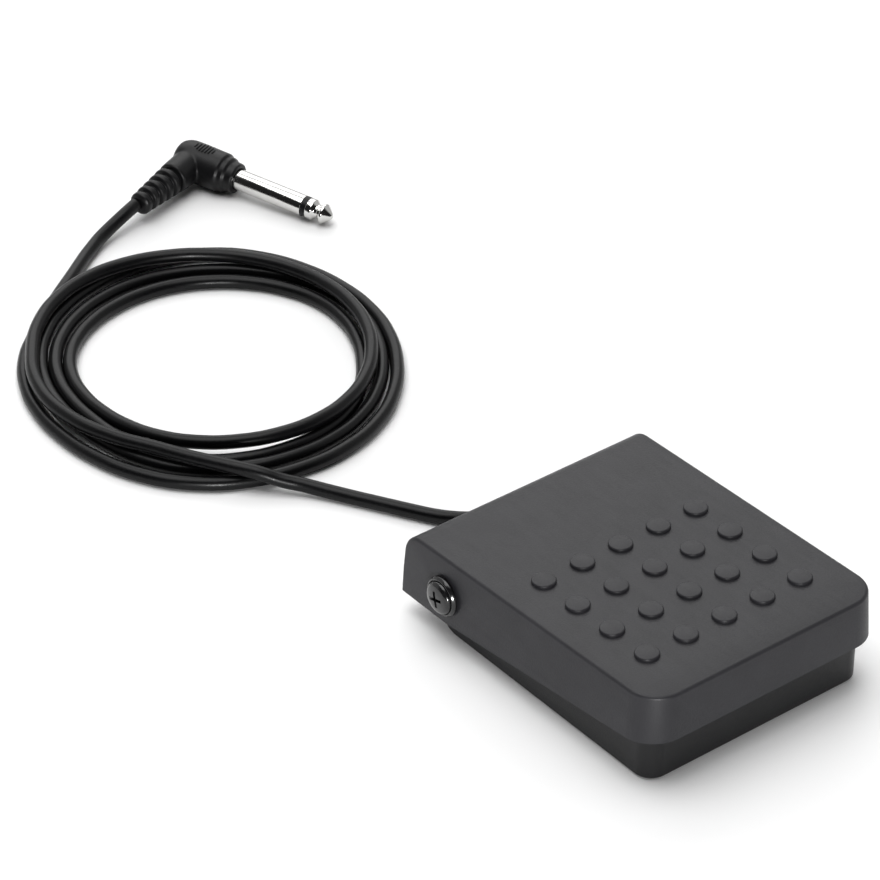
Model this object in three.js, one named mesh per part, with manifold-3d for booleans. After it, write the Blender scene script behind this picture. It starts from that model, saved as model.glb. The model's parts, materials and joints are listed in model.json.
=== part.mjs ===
// Sustain pedal with a moulded cord and a right-angle jack plug.
// Millimetres, +Z up. The origin is on the floor under the middle of the pedal.
// The toe end of the tread faces -Y, and the cord leaves the tray towards +Y.
import * as THREE from 'three';
import { mergeVertices } from 'three/addons/utils/BufferGeometryUtils.js';
import Module from 'manifold-3d';

const wasm = await Module();
wasm.setup();

// ---------------------------------------------------------------- driving dimensions
const GAP = 0.3;
const X_AXIS = new THREE.Vector3(1, 0, 0);
const Y_AXIS = new THREE.Vector3(0, 1, 0);
const Z_AXIS = new THREE.Vector3(0, 0, 1);

const DRAFT = 0.052;                 // side walls lean out by this much per mm downwards
const DRAFT_LEVEL = 14;              // height at which plan sizes are given
const CUT = 60;                      // oversize reach of cutting solids

const TREAD = { halfWidth: 39.0, front: -48.6, rear: 48.6, cornerRadius: 9.4, wall: 2.2 };
const TREAD_TOP = { z: 26.7, atY: -11.1, fall: 0.0316, rearRadius: 5.6 };
const TREAD_HEEL_CORNER = 1.2;
const REAR_STOP = { halfWidth: 24, front: 33.6, rear: 36.4 };
const RIB = { x: 20, halfThickness: 0.7, front: -41.2, rear: 33.8, bottom: 22.4 };
const CORD_NOTCH = { halfWidth: 4.4, front: 40, rear: 52 };
const SKIRT = { frontZ: 14.3, slope: 0.1003, rearZ: 6.4 };
const DOT = {
  across: 5, along: 4, pitchX: 12.7, pitchY: 13.18, centreY: -11.1, radius: 3.25, rise: 0.9, bevel: 0.35,
};

const TRAY = { halfWidth: 35.9, front: -45.0, rear: 36.9, cornerRadius: 5.2, wall: 2.0, heelRadius: 6.5 };
const TRAY_BOTTOM = 0.4;
const TRAY_FLOOR = 3.5;              // inside level of the tray's floor
const TRAY_HEEL_CORNER = 3;
const TRAY_RIM = { frontZ: 16.6, rearZ: 20.3, levelFromY: 25 };
const PIVOT_BOSS = { radius: 4.5, innerX: 27, outerX: 34.2 };
const POST_ROOT_Z = 1.9;             // posts start inside the tray's floor
const PILOT_RADIUS = 1.3;            // screw holes in posts, plates and saddles
const MAT = { halfWidth: 33.0, front: -42.6, rear: 24.5, top: 1.2, cornerRadius: 6 };

const PIVOT = { y: 31.2, z: 14.6 };
const SCREW = { shank: 1.35, headRadius: 4.55, headHeight: 2.5, insideX: 27.4, headX: 40.3 };
const WASHER = { radius: 5.6, rimRadius: 4.9, x: 39.5, thickness: 1.2, bore: 1.7 };
const BUSH = { radius: 3.0, innerX: 35.9, outerX: 39.15, bore: 1.7 };

const SPRING = { y: -25, radius: 5.5, wire: 0.6, turns: 5.5, bottom: 5.0, top: 24.4 };
const SPRING_SEAT = { radius: 7.5, pegRadius: 3.4, pegTop: 9, bossBottom: 20 };
const STOP = { x: 28, y: -38, padTop: 12, padThickness: 2, padRadius: 3.6, pegBottom: 19.6, pegRadius: 3 };

const STACK = { x: 14, y: 18, halfX: 6, halfY: 4, screwX: 3.2, seat: 5.0 };
const BLADE = { z: 13.0, thickness: 0.5, width: 6, rootY: 13.6, tipY: -9, contactY: -7, tagLength: 8 };
const RIVET = { radius: 1.3, proud: 0.4, sunk: 0.2 };
const FIXED_BLADE_Z = 6.4;
const TOP_SPACER = 1.5;
const ACTUATOR = { y: -5, bottom: 13.6, radius: 2 };

const CORD_RADIUS = 2.0;
const CORD_EXIT_Z = 6.0;
const CORD_HOLE_RADIUS = 2.5;
const CORD_STUB = { front: 22, rear: 32.2 };
const CLAMP = { x: 7, y: 27.6, halfX: 10, halfY: 2.4, top: 10.2, footZ: 4.5, saddleZ: 6.4 };
const WIRE_RADIUS = 0.55;
const GLAND = {
  flangeRadius: 3.6, flange: 1.4, bodyRadius: 3.3, tipRadius: 2.55, tipY: 53, grooves: 3, groove: 0.45,
};

const COIL = { x: -14, y: 168, innerRadius: 38, outerRadius: 60, height: 10.5 };

const PLUG = { x: 41.6, y: 252.3, z: 6.2, heading: -70.2, droop: 3.4, sleeveRadius: 3.175, seat: 16.9 };
const PLUG_ARM = {
  axis: 2.0, ribs: 5, firstRib: 12.0, pitch: 3.2, radius: 4.4, taper: 0.18, end: 28.8, endRadius: 3.6,
};

// ---------------------------------------------------------------- finishes
const finish = (color, roughness, metalness = 0) =>
  new THREE.MeshStandardMaterial({ color, roughness, metalness });
const treadPlastic = finish(0x525256, 0.5);
const trayPlastic = finish(0x26262a, 0.55);
const rubber = finish(0x1c1c1e, 0.8);
const blackSteel = finish(0x101012, 0.25, 0.7);
const springSteel = finish(0xa9adb2, 0.3, 1);
const brass = finish(0xb59a55, 0.3, 1);
const nickel = finish(0xd6d7d9, 0.12, 1);
const nylon = finish(0xe7e3d8, 0.5);
const phenolic = finish(0x5b3a22, 0.6);
const cordVinyl = finish(0x161617, 0.4);
const bootVinyl = finish(0x1b1b1d, 0.5);

const pedal = new THREE.Group();

// ---------------------------------------------------------------- solids
/** Weld a closed geometry, drop its collapsed triangles and return it as a solid. */
function solid(geometry) {
  const bare = geometry.clone();
  bare.deleteAttribute('normal');
  bare.deleteAttribute('uv');
  const welded = mergeVertices(bare, 1e-4);
  const triangles = [];
  for (let i = 0; i < welded.index.count; i += 3) {
    const [a, b, c] = [0, 1, 2].map((k) => welded.index.getX(i + k));
    if (a !== b && b !== c && c !== a) triangles.push(a, b, c);
  }
  return new wasm.Manifold(new wasm.Mesh({
    numProp: 3,
    vertProperties: Float32Array.from(welded.attributes.position.array),
    triVerts: Uint32Array.from(triangles),
  }));
}

/** Join any number of solids. */
const join = (first, ...others) => others.reduce((sum, other) => sum.add(other), first);

/** Cut any number of solids from the first. */
const cut = (first, ...others) => others.reduce((rest, other) => rest.subtract(other), first);

/** Turn a solid into a named mesh and put it in a group. */
function addPiece(name, material, body, parent = pedal) {
  const { vertProperties, triVerts } = body.getMesh();
  const geometry = new THREE.BufferGeometry();
  geometry.setAttribute('position', new THREE.BufferAttribute(vertProperties, 3));
  geometry.setIndex(new THREE.BufferAttribute(triVerts, 1));
  geometry.computeVertexNormals();
  const mesh = new THREE.Mesh(geometry, material);
  mesh.name = name;
  parent.add(mesh);
  return mesh;
}

/** Box between two corners. */
function box([x0, y0, z0], [x1, y1, z1]) {
  const geometry = new THREE.BoxGeometry(x1 - x0, y1 - y0, z1 - z0);
  return solid(geometry.translate((x0 + x1) / 2, (y0 + y1) / 2, (z0 + z1) / 2));
}

/** Upright cylinder from z0 to z1. */
function post(x, y, z0, z1, radius, segments = 14) {
  const geometry = new THREE.CylinderGeometry(radius, radius, z1 - z0, segments);
  return solid(geometry.rotateX(Math.PI / 2).translate(x, y, (z0 + z1) / 2));
}

/** Solid of revolution about +Z from [radius, height] pairs. */
function turned(profile, segments = 18) {
  const points = profile.map(([radius, height]) => new THREE.Vector2(radius, height));
  return solid(new THREE.LatheGeometry(points, segments).rotateX(Math.PI / 2));
}

/** Ring of rectangular section about +Z. */
const collar = (inner, outer, z0, z1, segments = 18) =>
  turned([[inner, z0], [outer, z0], [outer, z1], [inner, z1], [inner, z0]], segments);

/** Plan outline with rounded toe corners and tighter heel corners. */
function planOutline(halfWidth, front, rear, frontRadius, rearRadius) {
  const outline = new THREE.Shape();
  outline.moveTo(-halfWidth + frontRadius, front);
  outline.absarc(halfWidth - frontRadius, front + frontRadius, frontRadius, -Math.PI / 2, 0);
  outline.absarc(halfWidth - rearRadius, rear - rearRadius, rearRadius, 0, Math.PI / 2);
  outline.absarc(-halfWidth + rearRadius, rear - rearRadius, rearRadius, Math.PI / 2, Math.PI);
  outline.absarc(-halfWidth + frontRadius, front + frontRadius, frontRadius, Math.PI, Math.PI * 1.5);
  return outline;
}

/** Straight extrusion of an outline from z0 to z1. */
function prism(outline, z0, z1) {
  const options = { depth: z1 - z0, bevelEnabled: false, curveSegments: 5 };
  return new THREE.ExtrudeGeometry(outline, options).translate(0, 0, z0);
}

/** Upright prism of a plan outline whose walls lean by the mould draft. */
function draftedPrism(plan, inset, z0, z1, rearRadius, draft = DRAFT) {
  const halfWidth = plan.halfWidth - inset;
  const front = plan.front + inset;
  const rear = plan.rear - inset;
  const outline = planOutline(halfWidth, front, rear, Math.max(plan.cornerRadius - inset, 1), rearRadius);
  const geometry = prism(outline, z0, z1);
  const middle = (front + rear) / 2;
  const halfLength = (rear - front) / 2;
  const place = geometry.attributes.position;
  for (let i = 0; i < place.count; i += 1) {
    const lean = (DRAFT_LEVEL - place.getZ(i)) * draft;
    place.setX(i, place.getX(i) * (1 + lean / halfWidth));
    place.setY(i, middle + (place.getY(i) - middle) * (1 + lean / halfLength));
  }
  return solid(geometry);
}

/** Side outline in (y, z), drawn across the whole width of the pedal. */
function sideProfile(outline, x0 = -CUT, x1 = CUT) {
  const across = new THREE.Matrix4().makeBasis(Y_AXIS, Z_AXIS, X_AXIS);
  return solid(prism(outline, x0, x1).applyMatrix4(across));
}

/** Cylinder along X. */
function crossPin(x0, x1, radius, segments = 14) {
  const geometry = new THREE.CylinderGeometry(radius, radius, x1 - x0, segments);
  return solid(geometry.rotateZ(Math.PI / 2).translate((x0 + x1) / 2, PIVOT.y, PIVOT.z));
}

/** Round bar along a smooth route. */
function bar(route, radius, steps, sides = 8) {
  const section = new THREE.Shape();
  for (let side = 0; side < sides; side += 1) {
    const angle = (side + 0.5) * (Math.PI * 2 / sides);
    const point = [radius * Math.cos(angle), radius * Math.sin(angle)];
    if (side === 0) section.moveTo(...point);
    else section.lineTo(...point);
  }
  const path = route instanceof THREE.Curve
    ? route
    : new THREE.CatmullRomCurve3(route.map((point) => new THREE.Vector3(...point)), false, 'centripetal');
  return solid(new THREE.ExtrudeGeometry(section, { extrudePath: path, steps, bevelEnabled: false }));
}

// ---------------------------------------------------------------- tread
/** Height of the tread's top face at a place along the pedal. */
const treadTopAt = (y) => TREAD_TOP.z - TREAD_TOP.fall * (y - TREAD_TOP.atY);

/** Side outline of the tread, moved inwards by a wall thickness for the hollow. */
function treadSide(inset, openBottom) {
  const rear = TREAD.rear - inset;
  const radius = TREAD_TOP.rearRadius - inset;
  const arcY = rear - radius;
  const arcZ = treadTopAt(arcY) - inset - radius;
  const outline = new THREE.Shape();
  const front = TREAD.front - CUT / 2;
  const knee = TREAD.front + (SKIRT.frontZ - SKIRT.rearZ) / SKIRT.slope;
  if (openBottom) {
    outline.moveTo(front, -CUT);
    outline.lineTo(rear, -CUT);
  } else {
    outline.moveTo(front, SKIRT.frontZ + SKIRT.slope * (TREAD.front - front));
    outline.lineTo(knee, SKIRT.rearZ);
    outline.lineTo(rear, SKIRT.rearZ);
  }
  outline.absarc(arcY, arcZ, radius, 0, Math.PI / 2 - TREAD_TOP.fall);
  outline.lineTo(front, treadTopAt(front) - inset);
  return sideProfile(outline);
}

/** One low round stud of the grip field. */
function gripDot(x, y) {
  const { radius, rise, bevel } = DOT;
  const root = -0.6;
  const side = [[radius, root], [radius, rise - bevel], [radius - bevel, rise]];
  const stud = turned([[0, root], ...side, [0, rise]], 14);
  return stud.rotate([-THREE.MathUtils.radToDeg(TREAD_TOP.fall), 0, 0]).translate([x, y, treadTopAt(y)]);
}

/** Ribs, stop pegs, spring boss, actuator and rear stop, before they are trimmed to the shell. */
function treadFittings() {
  const rearStop = box(
    [-REAR_STOP.halfWidth, REAR_STOP.front, TRAY_RIM.rearZ + GAP + 0.2],
    [REAR_STOP.halfWidth, REAR_STOP.rear, CUT / 2],
  );
  const boss = post(0, SPRING.y, SPRING_SEAT.bossBottom, CUT / 2, SPRING_SEAT.pegRadius);
  const { radius, bottom, y } = ACTUATOR;
  const actuator = turned([[0, 0], [radius * 0.6, 0.35], [radius, 1.6], [radius, 16], [0, 16]]);
  const inside = [rearStop, boss, actuator.translate([STACK.x, y, bottom])];
  for (const side of [-1, 1]) {
    inside.push(box(
      [side * RIB.x - RIB.halfThickness, RIB.front, RIB.bottom],
      [side * RIB.x + RIB.halfThickness, RIB.rear, CUT / 2],
    ));
    inside.push(post(side * STOP.x, STOP.y, STOP.pegBottom, CUT / 2, STOP.pegRadius));
  }
  return inside;
}

/** All the studs of the grip field. */
function gripField() {
  const studs = [];
  for (let row = 0; row < DOT.along; row += 1) {
    for (let column = 0; column < DOT.across; column += 1) {
      const x = (column - (DOT.across - 1) / 2) * DOT.pitchX;
      const y = DOT.centreY + (row - (DOT.along - 1) / 2) * DOT.pitchY;
      studs.push(gripDot(x, y));
    }
  }
  return studs;
}

/** Arched opening in the tread's rear wall for the cord. */
function cordNotch() {
  const { halfWidth, front, rear } = CORD_NOTCH;
  const length = rear - front;
  const arch = new THREE.CylinderGeometry(halfWidth, halfWidth, length, 20);
  return join(
    box([-halfWidth, front, 0], [halfWidth, rear, CORD_EXIT_Z]),
    solid(arch.translate(0, (front + rear) / 2, CORD_EXIT_Z)),
  );
}

function buildTread() {
  const { wall } = TREAD;
  const outer = draftedPrism(TREAD, 0, 0, CUT, TREAD_HEEL_CORNER).intersect(treadSide(0, false));
  const hollow = draftedPrism(TREAD, wall, -CUT, CUT, 1).intersect(treadSide(wall, true));
  const room = draftedPrism(TREAD, wall / 2, 0, CUT, 1).intersect(treadSide(wall / 2, false));
  const fittings = treadFittings().map((item) => item.intersect(room));
  const tread = join(cut(outer, hollow), ...fittings, ...gripField());
  addPiece('tread_shell', treadPlastic, cut(tread, crossPin(-CUT, CUT, BUSH.radius + GAP), cordNotch()));
}

// ---------------------------------------------------------------- tray
/** Side outline of the tray, with its rounded heel. */
function traySide() {
  const arcY = TRAY.rear - TRAY.heelRadius;
  const outline = new THREE.Shape();
  outline.moveTo(-CUT, TRAY_BOTTOM);
  outline.lineTo(arcY, TRAY_BOTTOM);
  outline.absarc(arcY, TRAY_BOTTOM + TRAY.heelRadius, TRAY.heelRadius, -Math.PI / 2, 0);
  outline.lineTo(TRAY.rear, TRAY_RIM.rearZ);
  outline.lineTo(TRAY_RIM.levelFromY, TRAY_RIM.rearZ);
  outline.lineTo(TRAY.front, TRAY_RIM.frontZ);
  outline.lineTo(-CUT, TRAY_RIM.frontZ);
  return sideProfile(outline);
}

/** Inside hollow of the tray, parallel to its walls. */
function trayHollow() {
  const radius = TRAY.heelRadius - TRAY.wall;
  const rear = TRAY.rear - TRAY.wall;
  const outline = new THREE.Shape();
  outline.moveTo(-CUT, TRAY_FLOOR);
  outline.lineTo(rear - radius, TRAY_FLOOR);
  outline.absarc(rear - radius, TRAY_FLOOR + radius, radius, -Math.PI / 2, 0);
  outline.lineTo(rear, CUT);
  outline.lineTo(-CUT, CUT);
  return trayPrism(TRAY.wall).intersect(sideProfile(outline));
}

/** Tray plan with upright walls. */
function trayPrism(inset) {
  const heelCorner = Math.max(TRAY_HEEL_CORNER - inset, 0.8);
  return draftedPrism(TRAY, inset, -CUT / 2, CUT / 2, heelCorner, 0);
}

/** Bosses, posts and seats that stand in the tray. */
function trayFittings() {
  const { x: stackX, y: stackY, halfX, halfY, seat } = STACK;
  const inner = TRAY_FLOOR - 1;
  const parts = [
    post(0, SPRING.y, inner, SPRING.bottom - GAP, SPRING_SEAT.radius),
    post(0, SPRING.y, inner, SPRING_SEAT.pegTop, SPRING_SEAT.pegRadius),
    box([stackX - halfX, stackY - halfY, inner], [stackX + halfX, stackY + halfY, seat]),
  ];
  for (const side of [-1, 1]) {
    const [x0, x1] = [side * PIVOT_BOSS.innerX, side * PIVOT_BOSS.outerX].sort((a, b) => a - b);
    parts.push(crossPin(x0, x1, PIVOT_BOSS.radius));
    parts.push(post(side * STOP.x, STOP.y, POST_ROOT_Z, STOP.padTop - STOP.padThickness - GAP, 3));
    parts.push(post(side * CLAMP.x, CLAMP.y, POST_ROOT_Z, CLAMP.footZ - GAP, 2.4));
  }
  return parts;
}

/** Holes for the pivot screws, the small screws, the cord and the mat. */
function trayHoles() {
  const cordHole = new THREE.CylinderGeometry(CORD_HOLE_RADIUS, CORD_HOLE_RADIUS, 12, 20);
  const holes = [
    crossPin(-CUT, CUT, SCREW.shank + GAP),
    solid(cordHole.translate(0, TRAY.rear, CORD_EXIT_Z)),
    draftlessSlab(MAT, GAP, -1, MAT.top + GAP),
  ];
  for (const side of [-1, 1]) {
    holes.push(post(side * CLAMP.x, CLAMP.y, 2.4, 10, PILOT_RADIUS));
    holes.push(post(STACK.x + side * STACK.screwX, STACK.y, 2.6, 10, PILOT_RADIUS));
  }
  return holes;
}

function buildTray() {
  const shell = cut(trayPrism(0).intersect(traySide()), trayHollow());
  addPiece('base_tray', trayPlastic, cut(join(shell, ...trayFittings()), ...trayHoles()));
}

/** Flat slab of a plan outline, grown by a margin. */
function draftlessSlab(plan, margin, z0, z1) {
  const { halfWidth, front, rear, cornerRadius } = plan;
  const outline = planOutline(halfWidth + margin, front - margin, rear + margin, cornerRadius, 2);
  return solid(prism(outline, z0, z1));
}

function buildMat() {
  addPiece('base_mat', rubber, draftlessSlab(MAT, 0, 0, MAT.top));
}

// ---------------------------------------------------------------- pivot hardware
/** Put a turned piece on the pivot axis, pointing outwards on the given side. */
function onPivot(mesh, side) {
  mesh.rotation.y = side * Math.PI / 2;
  mesh.position.set(0, PIVOT.y, PIVOT.z);
}

function buildPivot(side, label) {
  const { shank, headRadius, headHeight, insideX, headX } = SCREW;
  const crown = headX + headHeight;
  const screw = turned([
    [0, insideX], [shank, insideX], [shank, headX], [headRadius, headX],
    [headRadius, headX + headHeight * 0.45], [headRadius * 0.82, headX + headHeight * 0.82],
    [headRadius * 0.45, crown], [0, crown],
  ]);
  const slotFloor = headX + 1.1;
  const driveSlots = [[2.6, 0.45], [0.45, 2.6]].map(([x, y]) => box([-x, -y, slotFloor], [x, y, crown + 1]));
  onPivot(addPiece(`pivot_screw_${label}`, blackSteel, cut(screw, ...driveSlots)), side);

  const { radius, rimRadius, x, thickness, bore } = WASHER;
  const seat = headRadius + GAP * 0.5;
  const washer = turned([
    [bore, x], [radius, x], [radius, x + 0.5], [rimRadius + 0.15, x + thickness], [seat, x + thickness],
    [seat, headX - GAP], [bore, headX - GAP], [bore, x],
  ]);
  onPivot(addPiece(`pivot_washer_${label}`, blackSteel, washer), side);
  const bush = collar(BUSH.bore, BUSH.radius, BUSH.innerX, BUSH.outerX);
  onPivot(addPiece(`pivot_bush_${label}`, nylon, bush), side);
}

// ---------------------------------------------------------------- return spring and stops
/** Helix with flattened end turns. */
class SpringCurve extends THREE.Curve {
  getPoint(t, target = new THREE.Vector3()) {
    const angle = t * SPRING.turns * Math.PI * 2;
    const rise = THREE.MathUtils.smoothstep(t, 0.02, 0.98) * 0.35 + t * 0.65;
    const low = SPRING.bottom + SPRING.wire;
    const high = SPRING.top - SPRING.wire;
    const x = SPRING.radius * Math.cos(angle);
    const y = SPRING.y + SPRING.radius * Math.sin(angle);
    return target.set(x, y, low + rise * (high - low));
  }
}

function buildSpringAndStops() {
  const level = box([-CUT, -CUT, SPRING.bottom], [CUT, CUT, SPRING.top]);
  addPiece('return_spring', springSteel, bar(new SpringCurve(), SPRING.wire, 55, 6).intersect(level));
  for (const [side, label] of [[-1, 'left'], [1, 'right']]) {
    const { x, y, padTop, padThickness, padRadius } = STOP;
    addPiece(`stop_pad_${label}`, rubber, post(side * x, y, padTop - padThickness, padTop, padRadius));
  }
}

// ---------------------------------------------------------------- switch
/** Rectangular leaf or spacer of the switch stack, with its two screw holes. */
function stackPlate(z0, z1) {
  const plate = box(
    [STACK.x - STACK.halfX, STACK.y - STACK.halfY, z0],
    [STACK.x + STACK.halfX, STACK.y + STACK.halfY, z1],
  );
  return cut(plate, ...stackHoles());
}

/** The two screw holes that run through the whole stack. */
function stackHoles() {
  return [-1, 1].map((side) => post(STACK.x + side * STACK.screwX, STACK.y, 0, CUT, PILOT_RADIUS));
}

/** Flat strip from y0 to y1 at the blade width. */
function strip(y0, y1, z) {
  const half = BLADE.thickness / 2;
  return box([STACK.x - BLADE.width / 2, y0, z - half], [STACK.x + BLADE.width / 2, y1, z + half]);
}

/** A blade held in the stack, with its solder tag and anything joined to it. */
function heldBlade(z, ...joined) {
  const half = BLADE.thickness / 2;
  const tag = strip(STACK.y, STACK.y + BLADE.tagLength, z);
  return cut(join(stackPlate(z - half, z + half), tag, ...joined), ...stackHoles());
}

/** Contact rivet between two heights. */
const rivet = (z0, z1) => post(STACK.x, BLADE.contactY, z0, z1, RIVET.radius, 16);

function buildSwitch() {
  const half = BLADE.thickness / 2;
  const fixedTop = FIXED_BLADE_Z + half;
  const movingBottom = BLADE.z - half;
  const upperZ = BLADE.z + half + GAP;
  const spacers = {
    spacer_lower: [STACK.seat + GAP, FIXED_BLADE_Z - half - GAP],
    spacer_middle: [fixedTop + GAP, movingBottom - GAP],
    spacer_upper: [upperZ, upperZ + TOP_SPACER],
  };
  for (const [name, [z0, z1]] of Object.entries(spacers)) {
    addPiece(`switch_${name}`, phenolic, stackPlate(z0, z1));
  }
  const fixedRivet = rivet(fixedTop - RIVET.sunk, fixedTop + RIVET.proud);
  const fixedArm = strip(BLADE.tipY + 1, STACK.y, FIXED_BLADE_Z);
  addPiece('fixed_contact', brass, heldBlade(FIXED_BLADE_Z, fixedArm, fixedRivet));
  addPiece('blade_root', brass, heldBlade(BLADE.z));
  const movingRivet = rivet(movingBottom - RIVET.proud, movingBottom + RIVET.sunk);
  addPiece('contact_blade', brass, join(strip(BLADE.tipY, BLADE.rootY - 0.1, BLADE.z), movingRivet));
  for (const [side, label] of [[-1, 'left'], [1, 'right']]) {
    const screw = smallScrew(3, upperZ + TOP_SPACER + GAP, 2, 1.7);
    addPiece(`switch_screw_${label}`, springSteel, screw)
      .position.set(STACK.x + side * STACK.screwX, STACK.y, 0);
  }
}

/** Upright screw with a domed head, from its point to the underside of its head and up. */
function smallScrew(point, headZ, headRadius, headHeight) {
  const rim = headZ + headHeight * 0.7;
  const crown = headZ + headHeight;
  return turned([
    [0, point], [1, point], [1, headZ], [headRadius, headZ], [headRadius, rim],
    [headRadius * 0.6, crown], [0, crown],
  ], 16);
}

// ---------------------------------------------------------------- cord entry
/** Outline of the strain relief: a flange behind the wall, then a tapered grooved sleeve. */
function glandProfile() {
  const { flangeRadius, flange, bodyRadius, tipRadius, tipY, grooves, groove } = GLAND;
  const start = TRAY.rear + GAP;
  const root = start + flange;
  const neck = start - 4.4;
  const run = tipY - root;
  const radius = (t) => bodyRadius + (tipRadius - bodyRadius) * t;
  const profile = [[0, neck], [2.2, neck], [2.2, start], [flangeRadius, start], [flangeRadius, root]];
  for (let i = 0; i < grooves; i += 1) {
    const [near, far, next] = [0.1, 0.65, 0.98].map((share) => (i + share) / grooves);
    profile.push([radius(near), root + run * near]);
    profile.push([radius(far), root + run * far]);
    profile.push([radius(far) - groove, root + run * far]);
    profile.push([radius(far) - groove, root + run * next]);
  }
  profile.push([tipRadius, tipY - 0.1], [tipRadius, tipY], [0, tipY]);
  return profile;
}

/** Saddle that holds the cord down inside the tray. */
function clampSaddle() {
  const { x, y, halfX, halfY, top, footZ, saddleZ } = CLAMP;
  const saddle = box([-halfX, y - halfY, saddleZ], [halfX, y + halfY, top]);
  const feet = [-1, 1].map((side) => box(
    [side * x - 2.4, y - halfY, footZ],
    [side * x + 2.4, y + halfY, saddleZ + 0.2],
  ));
  const arch = new THREE.CylinderGeometry(CORD_RADIUS + GAP, CORD_RADIUS + GAP, 12, 20);
  const bores = [-1, 1].map((side) => post(side * x, y, 0, CUT, PILOT_RADIUS));
  return cut(join(saddle, ...feet), solid(arch.translate(0, y, CORD_EXIT_Z)), ...bores);
}

function buildCordEntry() {
  const entry = new THREE.Group();
  entry.position.set(0, 0, CORD_EXIT_Z);
  entry.rotation.x = -Math.PI / 2;
  pedal.add(entry);
  addPiece('cord_gland', bootVinyl, turned(glandProfile(), 12), entry);
  const { front, rear } = CORD_STUB;
  const stub = turned([[0, front], [CORD_RADIUS, front], [CORD_RADIUS, rear], [0, rear]], 16);
  addPiece('cord_stub', cordVinyl, stub, entry);
  addPiece('cord_clamp', nylon, clampSaddle());
  for (const [side, label] of [[-1, 'left'], [1, 'right']]) {
    const screw = smallScrew(2.8, CLAMP.top + GAP, 2.1, 1.7);
    addPiece(`clamp_screw_${label}`, springSteel, screw).position.set(side * CLAMP.x, CLAMP.y, 0);
  }
}

/** The two insulated wires from the cord's inner end to the tags of the switch. */
function buildLeadWires() {
  const lowerTag = FIXED_BLADE_Z + 1.15;
  const upperTag = BLADE.z + 1.15;
  const lower = [
    [0.9, 21.6, 6], [2.3, 20.5, 6.3], [5, 21, 6.9], [8.5, 23.5, lowerTag + 0.1],
    [12, 24.3, lowerTag], [15.5, 24.5, lowerTag],
  ];
  const upper = [
    [-0.9, 21.6, 6], [-1.4, 19.8, 8], [1.2, 18.8, 11.4], [5, 20.8, 13.8],
    [8.2, 23.4, upperTag + 0.3], [12, 24.3, upperTag], [15.5, 24.5, upperTag],
  ];
  addPiece('lead_wire_lower', bootVinyl, bar(lower, WIRE_RADIUS, 16, 6));
  addPiece('lead_wire_upper', nylon, bar(upper, WIRE_RADIUS, 18, 6));
}

// ---------------------------------------------------------------- cord
// The lead runs from the gland along the floor and over the near side of the coil.
const LEAD_ROUTE = [
  [0, 53.3, 6], [-0.6, 57.5, 5.5], [-2.6, 62.5, 4.2], [-5.6, 67.6, 2.8], [-8.6, 72.2, 2.2],
  [-12.2, 78, 2.1],
  [-16.4, 85, 2.1], [-20.8, 92.4, 2.1], [-24.4, 98.2, 2.3], [-29, 104.6, 3], [-32.4, 108, 3.8],
];
// The tail leaves the far side of the coil and climbs into the boot's strain relief.
const TAIL_ROUTE = [
  [-13.4, 230, 2.1], [-9.6, 232.6, 2.1], [-5.8, 234.9, 2.2], [-1.8, 237, 2.6], [2.3, 238.4, 3.4],
  [6.4, 239.4, 4.4], [10.4, 240.2, 5.5], [14.6, 241.4, 6.1],
];

function buildCord() {
  addPiece('cord_lead', cordVinyl, bar(LEAD_ROUTE, CORD_RADIUS, 16, 8));
  addPiece('cord_tail', cordVinyl, bar(TAIL_ROUTE, CORD_RADIUS, 10, 8));
  const { innerRadius, outerRadius, height } = COIL;
  const ring = turned([
    [innerRadius, 2], [innerRadius + 2, GAP], [outerRadius - 2, GAP], [outerRadius, 2], [outerRadius, height - 4],
    [outerRadius - 4, height], [innerRadius + 4, height], [innerRadius, height - 4], [innerRadius, 2],
  ], 36);
  const coil = addPiece('cord_coil', cordVinyl, ring);
  coil.position.set(COIL.x, COIL.y, 0);
}

// ---------------------------------------------------------------- plug
/** Moulded boot: a stepped barrel along +Z with a ribbed cable arm at right angles. */
function plugBoot() {
  const barrel = turned([
    [0, -3.4], [3.6, -3.2], [5.4, -2], [6.05, 0.4], [6.05, 12.8], [5.5, 13.2], [5.5, 14.6],
    [4.7, 15.0], [4.6, 17.7], [0, 17.7],
  ], 16);
  const { axis, ribs, firstRib, pitch, radius: firstRadius, taper, end, endRadius } = PLUG_ARM;
  const arm = [[0, 0], [5.1, 0], [4.8, 11.4]];
  for (let i = 0; i < ribs; i += 1) {
    const near = firstRib + i * pitch;
    const radius = firstRadius - i * taper;
    arm.push([radius - 0.8, near], [radius - 0.8, near + 1.2], [radius, near + 1.3], [radius, near + 2.9]);
  }
  arm.push([endRadius, end], [0, end]);
  const cable = turned(arm, 12).rotate([90, 0, 0]).translate([0, 0, axis]);
  return cut(join(barrel, cable), post(0, 0, 11.1, 20, PLUG.sleeveRadius + GAP, 18));
}

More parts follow.
